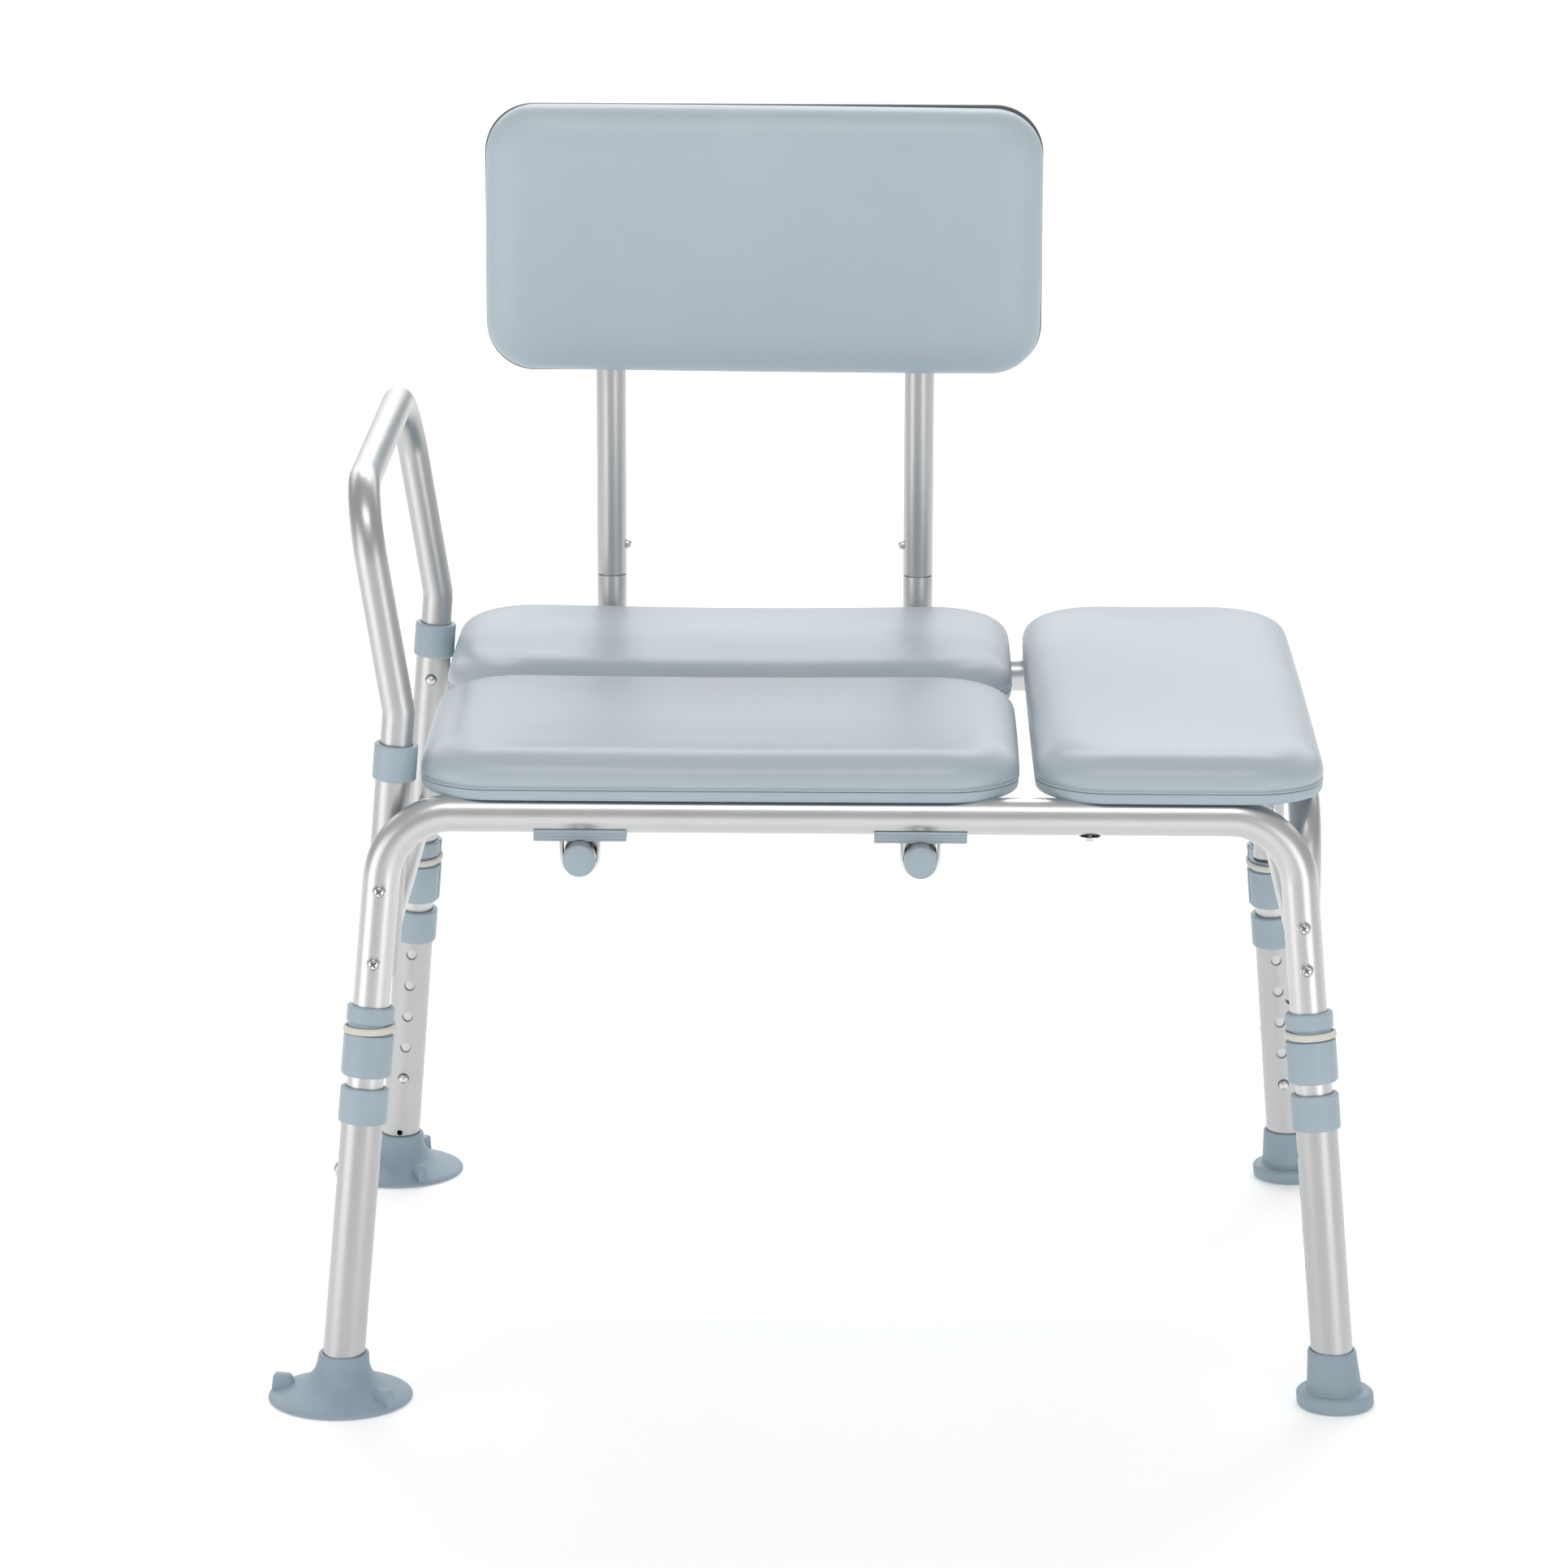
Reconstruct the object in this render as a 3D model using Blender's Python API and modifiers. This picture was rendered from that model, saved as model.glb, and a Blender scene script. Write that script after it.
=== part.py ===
"""Bath transfer bench: padded seat on a splayed tube frame, one lift-out arm rail,
a lift-off back rest and four push-button leg extensions (two suction cups, two tips).
Metres, +Z up, the bench faces -Y, floor at z = 0."""
import math
import bpy
import bmesh
from mathutils import Matrix, Vector

# ------------------------------------------------------------------ driving dimensions
MM = 0.001
X_OFF = 11.5 * MM            # puts the middle of the overall width on x = 0
GAP = 0.3 * MM               # running / seating gap between pieces
SIDES_RES = 8                # bevel resolution: 4 + 2 * 8 = 20 sides on every tube

BAR_H = 403.4 * MM           # height of the frame bars above the floor
HALF_L = 308.1 * MM          # half width between the leg axes at bar height
HALF_D = 211.7 * MM          # half depth between the two bars
SPLAY_X = 0.0834             # sideways splay of the legs per unit of height
SPLAY_Y = 0.1081             # front/rear splay of the legs per unit of height

FRAME_R = 12.7 * MM          # 25.4 mm frame tube
THIN_R = 11.1 * MM           # 22.2 mm arm, back and seat-support tube
EXT_R = 14.3 * MM            # 28.6 mm leg extension tube
WALL = 1.2 * MM
BEND_R = 49.0 * MM           # centreline radius of the frame bends
PITCH = 25.4 * MM            # height adjustment pitch
HOLE_R = 4.1 * MM
SIDE_HOLE_R = 3.0 * MM
BUTTON_R = 3.6 * MM
PRESS = 2.5 * MM

T_COLLAR = (132 * MM, 180 * MM)
T_BAND = (143.2 * MM, 151.2 * MM)
T_RING = (188 * MM, 212.4 * MM)
T_HOLE0 = 221.9 * MM
T_SIDE0 = 229.5 * MM
T_FRAME_END = 345 * MM
T_EXT_TOP = 190.6 * MM
T_EXT_END = 395.5 * MM

CUP_R = 49.5 * MM
TIP_R = 26.5 * MM

SEAT_Z0 = BAR_H + FRAME_R + GAP      # underside of the seat boards
BOARD_T = 5.7 * MM
PAD_T = 27.1 * MM
SEAT_FRONT, SEAT_REAR = -224 * MM, 267 * MM
PAD_SPLIT = 38 * MM                 # middle of the gap between front and rear pads
PAD_GAP = 8 * MM
MAIN_X = (-287.8 * MM, 122.4 * MM)
SIDE_X = (131.2 * MM, 330 * MM)
PAD_CORNER = 47 * MM

POST_X = (-176.4 * MM, 54.4 * MM)    # back support tubes
SUPPORT_Z = 376 * MM
SUPPORT_FRONT = -231.5 * MM
POST_Y = 286 * MM
POST_SPLIT_Z = 463.4 * MM
POST_TOP_Z = 798 * MM
BACK_X = (-268.4 * MM, 144.9 * MM)
BACK_Z = (621 * MM, 820.6 * MM)
BACK_BOARD_T = 6 * MM
BACK_PAD_T = 30 * MM
BACK_CORNER = 36 * MM

SOCKET_Y = 188 * MM
SOCKET_X = -303.6 * MM               # socket axis x at SOCKET_REF_Z
SOCKET_REF_Z = 434 * MM
SOCKET_SLOPE = 0.083
SOCKET_Z = (284 * MM, 443 * MM)
ARM_LOW_Z = 378 * MM
ARM_KINK_Z = 468 * MM
ARM_LEAN = -0.161
ARM_TOP_Z = 620 * MM
ARM_R = 50 * MM

HOOP_X = 316.8 * MM
HOOP_Y = 190 * MM
HOOP_TOP_Z = BAR_H + FRAME_R - THIN_R
HOOP_LOW_Z = 270 * MM
RAIL_Z = 305 * MM
RAIL_R = 9.5 * MM

for o in list(bpy.data.objects):
    bpy.data.objects.remove(o, do_unlink=True)

scene = bpy.context.scene
bench = bpy.data.collections.new("transfer_bench")
cutters = bpy.data.collections.new("cutters")
scene.collection.children.link(bench)
scene.collection.children.link(cutters)

LOOKS = {
    "aluminium": ((0.74, 0.75, 0.75), 1.0, 0.34),
    "blue_grey_plastic": ((0.44, 0.54, 0.60), 0.0, 0.5),
    "grey_board": ((0.50, 0.58, 0.63), 0.0, 0.55),
    "vinyl": ((0.60, 0.68, 0.73), 0.0, 0.45),
    "cup_rubber": ((0.36, 0.46, 0.53), 0.0, 0.6),
    "cream_band": ((0.76, 0.74, 0.66), 0.0, 0.7),
    "chrome": ((0.86, 0.86, 0.87), 1.0, 0.12),
}


def material(name, look):
    colour, metal, rough = LOOKS[look]
    m = bpy.data.materials.new("m_" + name)
    m.use_nodes = True
    b = m.node_tree.nodes["Principled BSDF"]
    b.inputs["Base Color"].default_value = (*colour, 1.0)
    b.inputs["Metallic"].default_value = metal
    b.inputs["Roughness"].default_value = rough
    return m


def finish(ob, look, smooth=True, merge=True):
    ob.data.materials.clear()
    ob.data.materials.append(material(ob.name, look))
    for p in ob.data.polygons:
        p.use_smooth = smooth
    return ob


def link_mesh(name, mesh, where=None):
    ob = bpy.data.objects.new(name, mesh)
    (where or bench).objects.link(ob)
    return ob


# ------------------------------------------------------------------ paths and tubes
def filleted(points, radii, steps=6):
    """Polyline with each inner corner replaced by an arc of the given radius."""
    out = [Vector(points[0])]
    for i in range(1, len(points) - 1):
        a, b, c = Vector(points[i - 1]), Vector(points[i]), Vector(points[i + 1])
        u, v = (a - b).normalized(), (c - b).normalized()
        ang = math.acos(max(-1.0, min(1.0, u.dot(v))))
        r = radii[i - 1]
        if r <= 0 or math.pi - ang < 0.01:
            out.append(b)
            continue
        t = r / math.tan(ang / 2)
        centre = b + (u + v).normalized() * (r / math.sin(ang / 2))
        p, q = b + u * t - centre, b + v * t - centre
        axis = p.cross(q).normalized()
        sweep = p.angle(q)
        n = max(2, int(round(steps * sweep / (math.pi / 2))))
        for k in range(n + 1):
            out.append(centre + Matrix.Rotation(sweep * k / n, 3, axis) @ p)
    out.append(Vector(points[-1]))
    return out


def swept(name, pts, radius, where=None, caps=False, res=SIDES_RES):
    """Round bar along a polyline, made from a bevelled curve."""
    cu = bpy.data.curves.new(name + "_path", "CURVE")
    cu.dimensions = "3D"
    cu.bevel_depth = radius
    cu.bevel_resolution = res
    cu.use_fill_caps = caps
    sp = cu.splines.new("POLY")
    sp.points.add(len(pts) - 1)
    for pt, co in zip(sp.points, pts):
        pt.co = (co[0], co[1], co[2], 1.0)
    tmp = bpy.data.objects.new(name + "_tmp", cu)
    scene.collection.objects.link(tmp)
    bpy.context.view_layer.update()
    me = bpy.data.meshes.new_from_object(tmp)
    bpy.data.objects.remove(tmp, do_unlink=True)
    me.name = name
    bm = bmesh.new()
    bm.from_mesh(me)
    bmesh.ops.remove_doubles(bm, verts=bm.verts, dist=1e-6)
    bmesh.ops.recalc_face_normals(bm, faces=bm.faces)
    bm.to_mesh(me)
    bm.free()
    return link_mesh(name, me, where)


def wall(ob, thickness=WALL):
    m = ob.modifiers.new("wall", "SOLIDIFY")
    m.thickness = thickness
    m.offset = -1.0
    m.use_even_offset = True
    m.use_rim = True
    return m


def cut(ob, cutter, op="DIFFERENCE"):
    cutter.hide_render = True
    cutter.display_type = "WIRE"
    m = ob.modifiers.new("cut_" + cutter.name, "BOOLEAN")
    m.operation = op
    m.solver = "EXACT"
    m.object = cutter
    return m


def cyl_mesh(name, a, b, radius, sides=16):
    """Closed straight cylinder from a to b."""
    a, b = Vector(a), Vector(b)
    d = b - a
    me = bpy.data.meshes.new(name)
    bm = bmesh.new()
    bmesh.ops.create_cone(bm, cap_ends=True, segments=sides, radius1=radius, radius2=radius, depth=d.length)
    rot = Vector((0, 0, 1)).rotation_difference(d.normalized()).to_matrix().to_4x4()
    bm.transform(Matrix.Translation((a + b) / 2) @ rot)
    bm.to_mesh(me)
    bm.free()
    return me


def joined(name, meshes, where=None):
    """One object from several separate closed meshes (used for cutters)."""
    bm = bmesh.new()
    for me in meshes:
        bm.from_mesh(me)
    out = bpy.data.meshes.new(name)
    bm.to_mesh(out)
    bm.free()
    return link_mesh(name, out, where)


def box_mesh(name, centre, size, rot=None):
    me = bpy.data.meshes.new(name)
    bm = bmesh.new()
    bmesh.ops.create_cube(bm, size=1.0)
    bm.transform(Matrix.Diagonal((size[0], size[1], size[2], 1.0)))
    if rot is not None:
        bm.transform(rot)
    bm.transform(Matrix.Translation(centre))
    bm.to_mesh(me)
    bm.free()
    return me


def turned(name, profile, origin, axis=(0, 0, 1), sides=20, spin=0.0, where=None, shear=None):
    """Solid or ring of revolution: profile is a list of (radius, height), made with Screw.
    A profile whose first and last radius are 0 is a solid; otherwise it is closed on itself."""
    me = bpy.data.meshes.new(name)
    ring = not (profile[0][0] == 0 and profile[-1][0] == 0)
    pts = [(r, 0.0, h) for r, h in profile]
    edges = [(i, i + 1) for i in range(len(pts) - 1)]
    if ring:
        edges.append((len(pts) - 1, 0))
    me.from_pydata(pts, edges, [])
    tmp = bpy.data.objects.new(name + "_prof", me)
    scene.collection.objects.link(tmp)
    s = tmp.modifiers.new("turn", "SCREW")
    s.axis = "Z"
    s.steps = s.render_steps = sides
    s.use_merge_vertices = True
    s.merge_threshold = 0.00001
    s.use_normal_calculate = True
    bpy.context.view_layer.update()
    dg = bpy.context.evaluated_depsgraph_get()
    out = bpy.data.meshes.new_from_object(tmp.evaluated_get(dg))
    bpy.data.objects.remove(tmp, do_unlink=True)
    out.name = name
    bm = bmesh.new()
    bm.from_mesh(out)
    bmesh.ops.remove_doubles(bm, verts=bm.verts, dist=1e-6)
    bmesh.ops.recalc_face_normals(bm, faces=bm.faces)
    if shear:
        for v in bm.verts:
            v.co.x += shear[0] * v.co.z
            v.co.y += shear[1] * v.co.z
    ax = Vector(axis).normalized()
    rot = Vector((0, 0, 1)).rotation_difference(ax).to_matrix().to_4x4()
    bm.transform(rot @ Matrix.Rotation(spin, 4, "Z"))
    bm.to_mesh(out)
    bm.free()
    ob = link_mesh(name, out, where)
    ob.location = origin
    return ob


def pad_solid(name, x, y, z, corner, edge, flip_axis=None, seg=5, edge_seg=2, both=False):
    """Rounded slab: rectangle with bevelled corners and a bevelled top edge."""
    me = bpy.data.meshes.new(name)
    bm = bmesh.new()
    bmesh.ops.create_cube(bm, size=1.0)
    bm.transform(Matrix.Diagonal((x[1] - x[0], y[1] - y[0], z[1] - z[0], 1.0)))
    up = [e for e in bm.edges if abs((e.verts[0].co - e.verts[1].co).normalized().z) > 0.99]
    bmesh.ops.bevel(bm, geom=up, offset=corner, offset_type="OFFSET", segments=seg, profile=0.5, affect="EDGES")
    if edge > 0:
        h = (z[1] - z[0]) / 2
        for level in ((h, -h) if both else (h,)):
            top = [e for e in bm.edges if all(abs(v.co.z - level) < 1e-7 for v in e.verts)]
            bmesh.ops.bevel(bm, geom=top, offset=edge, offset_type="OFFSET", segments=edge_seg, profile=0.6, affect="EDGES")
    bm.transform(Matrix.Translation(((x[0] + x[1]) / 2, (y[0] + y[1]) / 2, (z[0] + z[1]) / 2)))
    bm.to_mesh(me)
    bm.free()
    return link_mesh(name, me)


# ------------------------------------------------------------------ legs
CORNERS = {
    "front_left": (-1, -1),
    "front_right": (1, -1),
    "rear_left": (-1, 1),
    "rear_right": (1, 1),
}


def leg_point(corner, t):
    sx, sy = CORNERS[corner]
    return Vector((sx * (HALF_L + SPLAY_X * t), sy * (HALF_D + SPLAY_Y * t), BAR_H - t))


def leg_axis(corner):
    sx, sy = CORNERS[corner]
    return Vector((sx * SPLAY_X, sy * SPLAY_Y, -1.0)).normalized()


def inward(corner):
    """Direction square to the leg that points to the middle of the bench in y."""
    d = leg_axis(corner)
    v = Vector((0, -CORNERS[corner][1], 0))
    return (v - d * v.dot(d)).normalized()


def sideways(corner):
    """Direction square to the leg, facing -x."""
    d = leg_axis(corner)
    v = Vector((-1, 0, 0))
    return (v - d * v.dot(d)).normalized()


def outward(corner):
    return -inward(corner)


# front and rear frames: an inverted U each, hollow, open at the leg ends
for side, (left, right) in {"front": ("front_left", "front_right"), "rear": ("rear_left", "rear_right")}.items():
    path = filleted([leg_point(left, T_FRAME_END), leg_point(left, 0), leg_point(right, 0), leg_point(right, T_FRAME_END)], [BEND_R, BEND_R], steps=8)
    frame = swept(side + "_frame_tube", path, FRAME_R)
    wall(frame)
    cuts = []
    for c in (left, right):
        # open-ended slot behind the snap button, on the inner face of the leg
        n, d = inward(c), leg_axis(c)
        b = n.cross(d)
        rot = Matrix((b, n, d)).transposed().to_4x4()
        t0, t1 = T_HOLE0 + 4 * PITCH / 1.0093 - 5.5 * MM, T_FRAME_END + 8 * MM
        mid = leg_point(c, (t0 + t1) / 2) + n * FRAME_R
        cuts.append(box_mesh("slot", mid, (8.8 * MM, 14 * MM, (t1 - t0) * 1.0093), rot))
        if side == "front":
            for t in ((52.3 * MM, 101.8 * MM) if c == left else (73.2 * MM, 102.0 * MM)):
                p = leg_point(c, t)
                cuts.append(cyl_mesh("screw_hole", p + outward(c) * 4 * MM, p + outward(c) * 20 * MM, 2.6 * MM, 12))
    cutter = joined("cut_" + side + "_frame", cuts, cutters)
    cut(frame, cutter)
    finish(frame, "aluminium")

# pan-head screws on the front legs
for c, ts in (("front_left", (52.3 * MM, 101.8 * MM)), ("front_right", (73.2 * MM, 102.0 * MM))):
    for label, t in zip(("upper", "lower"), ts):
        n = outward(c)
        prof = [(0, -4 * MM), (2.2 * MM, -4 * MM), (2.2 * MM, 0.25 * MM), (4.8 * MM, 0.25 * MM), (4.8 * MM, 1.3 * MM), (3.6 * MM, 2.6 * MM), (1.6 * MM, 3.2 * MM), (0, 3.3 * MM)]
        s = turned("frame_screw_%s_%s" % (c, label), prof, leg_point(c, t) + n * FRAME_R, n, sides=12)
        finish(s, "chrome")

# lock collars and their bands
for c in CORNERS:
    d = leg_axis(c)
    k = d.length
    base = leg_point(c, T_COLLAR[0])
    n = 1.0093
    h = lambda t: (t - T_COLLAR[0]) * n
    ri = FRAME_R + GAP
    prof = [(ri, 0), (15.6 * MM, 0), (16.4 * MM, 1.0 * MM), (16.4 * MM, h(T_BAND[0])), (15.2 * MM, h(T_BAND[0])),
            (15.2 * MM, h(T_BAND[1])), (17.3 * MM, h(T_BAND[1])), (17.3 * MM, h(T_COLLAR[1]) - 1.5 * MM), (16.2 * MM, h(T_COLLAR[1])), (ri, h(T_COLLAR[1]))]
    finish(turned("leg_collar_" + c, prof, base, d), "blue_grey_plastic")
    bb = leg_point(c, T_BAND[0])
    w = (T_BAND[1] - T_BAND[0]) * n
    g = 0.35 * MM
    prof = [(15.6 * MM, g), (17.0 * MM, g), (17.5 * MM, 1.6 * MM), (17.5 * MM, w - 1.6 * MM), (17.0 * MM, w - g), (15.6 * MM, w - g)]
    finish(turned("leg_band_" + c, prof, bb, d), "cream_band")

# leg extensions, their top rings, feet and snap buttons
for c in CORNERS:
    d = leg_axis(c)
    a, b = leg_point(c, T_EXT_TOP), leg_point(c, T_EXT_END)
    ext = swept("leg_extension_" + c, [a, b], EXT_R)
    wall(ext, 1.25 * MM)
    cuts = []
    n, s = inward(c), sideways(c)
    for i in range(5):
        p = leg_point(c, T_HOLE0 + i * PITCH / 1.0093)
        cuts.append(cyl_mesh("hole", p + n * 9 * MM, p + n * 20 * MM, HOLE_R, 12))
    for i in range(4):
        p = leg_point(c, T_SIDE0 + i * PITCH / 1.0093)
        cuts.append(cyl_mesh("hole", p + s * 9 * MM, p + s * 20 * MM, SIDE_HOLE_R, 8))
    cut(ext, joined("cut_ext_" + c, cuts, cutters))
    finish(ext, "aluminium")

    L = (T_RING[1] - T_RING[0]) * 1.0093
    prof = [(FRAME_R + 0.5 * MM, 0), (15.8 * MM, 0), (16.6 * MM, 0.9 * MM), (16.6 * MM, L - 0.9 * MM), (16.0 * MM, L),
            (EXT_R + GAP, L), (EXT_R + GAP, 2.2 * MM), (FRAME_R + 0.5 * MM, 2.2 * MM)]
    finish(turned("leg_ring_" + c, prof, leg_point(c, T_RING[0]), d), "blue_grey_plastic")

    # snap button: a dome standing in the lowest hole
    p = leg_point(c, T_HOLE0 + 4 * PITCH / 1.0093)
    r0 = EXT_R - 1.2 * MM
    prof = [(0, 0), (BUTTON_R, 0), (BUTTON_R, 3.4 * MM), (2.9 * MM, 4.4 * MM), (1.6 * MM, 5.0 * MM), (0, 5.2 * MM)]
    finish(turned("leg_button_" + c, prof, p + n * r0, n, sides=12), "chrome")

    # foot on the lower end
    foot_at = leg_point(c, BAR_H)
    sx, sy = CORNERS[c]
    shear = (-sx * SPLAY_X, -sy * SPLAY_Y)
    if sx < 0:
        prof = [(0, 3.0 * MM), (24 * MM, 3.0 * MM), (40 * MM, 1.8 * MM), (47 * MM, 0), (CUP_R, 0), (CUP_R, 1.6 * MM), (41 * MM, 5.4 * MM),
                (30 * MM, 9.4 * MM), (22.5 * MM, 14.5 * MM), (18.4 * MM, 21 * MM), (17.4 * MM, 28 * MM), (17.4 * MM, 29.6 * MM), (16.4 * MM, 31 * MM), (0, 31 * MM)]
        foot = turned("suction_foot_" + c, prof, foot_at, sides=28, shear=shear)
        for i, deg in enumerate((172, -38)):
            r = math.radians(deg)
            rot = Matrix.Rotation(r, 4, "Z")
            me = box_mesh("lug", foot_at + Vector((math.cos(r) * 36 * MM, math.sin(r) * 36 * MM, 8.6 * MM)), (15 * MM, 8 * MM, 9 * MM), rot)
            cut(foot, link_mesh("lug_%s_%d" % (c, i), me, cutters), "UNION")
        look = "cup_rubber"
    else:
        prof = [(0, 0), (25.2 * MM, 0), (TIP_R, 1.5 * MM), (TIP_R, 8.2 * MM), (25.0 * MM, 10.2 * MM), (19.6 * MM, 10.8 * MM), (18.8 * MM, 12.5 * MM),
                (16.6 * MM, 37.0 * MM), (15.6 * MM, 38.4 * MM), (0, 38.4 * MM)]
        foot = turned("foot_tip_" + c, prof, foot_at, sides=28, shear=shear)
        look = "cup_rubber"
    a = leg_point(c, T_EXT_END + 0.4 * MM)
    b = leg_point(c, T_EXT_END - 60 * MM)
    me = cyl_mesh("cut_foot_" + c, a, b, EXT_R + 0.45 * MM, 20)
    cut(foot, link_mesh("cut_foot_" + c, me, cutters))
    finish(foot, look)

# ------------------------------------------------------------------ seat-support hoop and lower rails
hoop = swept("side_hoop", filleted([(HOOP_X, -HOOP_Y, HOOP_LOW_Z), (HOOP_X, -HOOP_Y, HOOP_TOP_Z), (HOOP_X, HOOP_Y, HOOP_TOP_Z), (HOOP_X, HOOP_Y, HOOP_LOW_Z)],
                                   [42 * MM, 42 * MM]), THIN_R)
wall(hoop)
finish(hoop, "aluminium")
socket_x = lambda z: SOCKET_X - SOCKET_SLOPE * (SOCKET_REF_Z - z)
for label, x, reach in (("left", socket_x(RAIL_Z), SOCKET_Y - FRAME_R - 0.4 * MM), ("right", HOOP_X, HOOP_Y - THIN_R - 0.4 * MM)):
    rail = swept("lower_rail_" + label, [(x, y, RAIL_Z) for y in (-reach, -reach + 24 * MM, -reach + 38 * MM, reach - 38 * MM, reach - 24 * MM, reach)], RAIL_R, caps=True)
    # pinched ends: flattened upright over the last stretch
    for v in rail.data.vertices:
        if abs(v.co.y) > reach - 25 * MM:
            v.co.x = x + (v.co.x - x) * 0.34
            v.co.z = RAIL_Z + (v.co.z - RAIL_Z) * 1.28
    finish(rail, "aluminium")

# ------------------------------------------------------------------ arm sockets, collars, arm rail
up_socket = Vector((SOCKET_SLOPE, 0, 1)).normalized()
for label, sy in (("front", -1), ("rear", 1)):
    y = sy * SOCKET_Y
    a, b = Vector((socket_x(SOCKET_Z[0]), y, SOCKET_Z[0])), Vector((socket_x(SOCKET_Z[1]), y, SOCKET_Z[1]))
    sock = swept("arm_socket_" + label, [a, b], FRAME_R)
    wall(sock)
    p = Vector((socket_x(405 * MM), y, 405 * MM))
    n = Vector((0, -sy, 0))
    cut(sock, link_mesh("cut_socket_" + label, cyl_mesh("h", p + n * 8 * MM, p + n * 20 * MM, HOLE_R, 12), cutters))
    finish(sock, "aluminium")
    prof = [(0, 0), (BUTTON_R, 0), (BUTTON_R, 3.3 * MM), (2.9 * MM, 4.3 * MM), (1.6 * MM, 4.9 * MM), (0, 5.1 * MM)]
    finish(turned("arm_button_" + label, prof, p + n * (FRAME_R - 1.1 * MM), n, sides=12), "chrome")
    z0, z1 = 421.5 * MM, 446 * MM
    at = Vector((socket_x(z0), y, z0))
    H = (z1 - z0) * 1.0034
    top = (SOCKET_Z[1] - z0) * 1.0034 + GAP
    prof = [(FRAME_R + GAP, 0), (14.4 * MM, 0), (15.0 * MM, 0.8 * MM), (15.0 * MM, H - 1 * MM), (14.2 * MM, H), (THIN_R + 0.5 * MM, H), (THIN_R + 0.5 * MM, top), (FRAME_R + GAP, top)]
    finish(turned("arm_socket_collar_" + label, prof, at, up_socket), "blue_grey_plastic")

kx = socket_x(ARM_KINK_Z)
tx = kx + ARM_LEAN * (ARM_TOP_Z - ARM_KINK_Z)
arm_pts = []
for sy in (-1, 1):
    y = sy * SOCKET_Y
    leg = [(socket_x(ARM_LOW_Z), y, ARM_LOW_Z), (kx, y, ARM_KINK_Z), (tx, y, ARM_TOP_Z)]
    arm_pts += leg if sy < 0 else leg[::-1]
arm = swept("arm_rail", filleted(arm_pts, [26 * MM, ARM_R, ARM_R, 26 * MM], steps=8), THIN_R)
wall(arm)
cuts = []
for sy in (-1, 1):
    z0, z1 = ARM_LOW_Z - 8 * MM, 405 * MM + 5.5 * MM
    zc = (z0 + z1) / 2
    cuts.append(box_mesh("slot", (socket_x(zc), sy * (SOCKET_Y - THIN_R), zc), (8.8 * MM, 12 * MM, z1 - z0), Matrix.Rotation(math.atan(SOCKET_SLOPE), 4, "Y")))
cut(arm, joined("cut_arm", cuts, cutters))
finish(arm, "aluminium")

# ------------------------------------------------------------------ seat boards and pads
mid = PAD_SPLIT
SEATS = {
    "front": (MAIN_X, (SEAT_FRONT, mid - PAD_GAP / 2)),
    "rear": (MAIN_X, (mid + PAD_GAP / 2, SEAT_REAR)),
    "side": (SIDE_X, (SEAT_FRONT, SEAT_REAR + 3 * MM)),
}
for label, (x, y) in SEATS.items():
    zb = (SEAT_Z0, SEAT_Z0 + BOARD_T)
    finish(pad_solid("seat_board_" + label, x, y, zb, PAD_CORNER, 0), "grey_board", smooth=False)
    inset = 0.6 * MM
    zp = (zb[1] + GAP, zb[1] + GAP + PAD_T)
    finish(pad_solid("seat_pad_" + label, (x[0] + inset, x[1] - inset), (y[0] + inset, y[1] - inset), zp, PAD_CORNER, 12 * MM, edge_seg=3), "vinyl")

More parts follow.
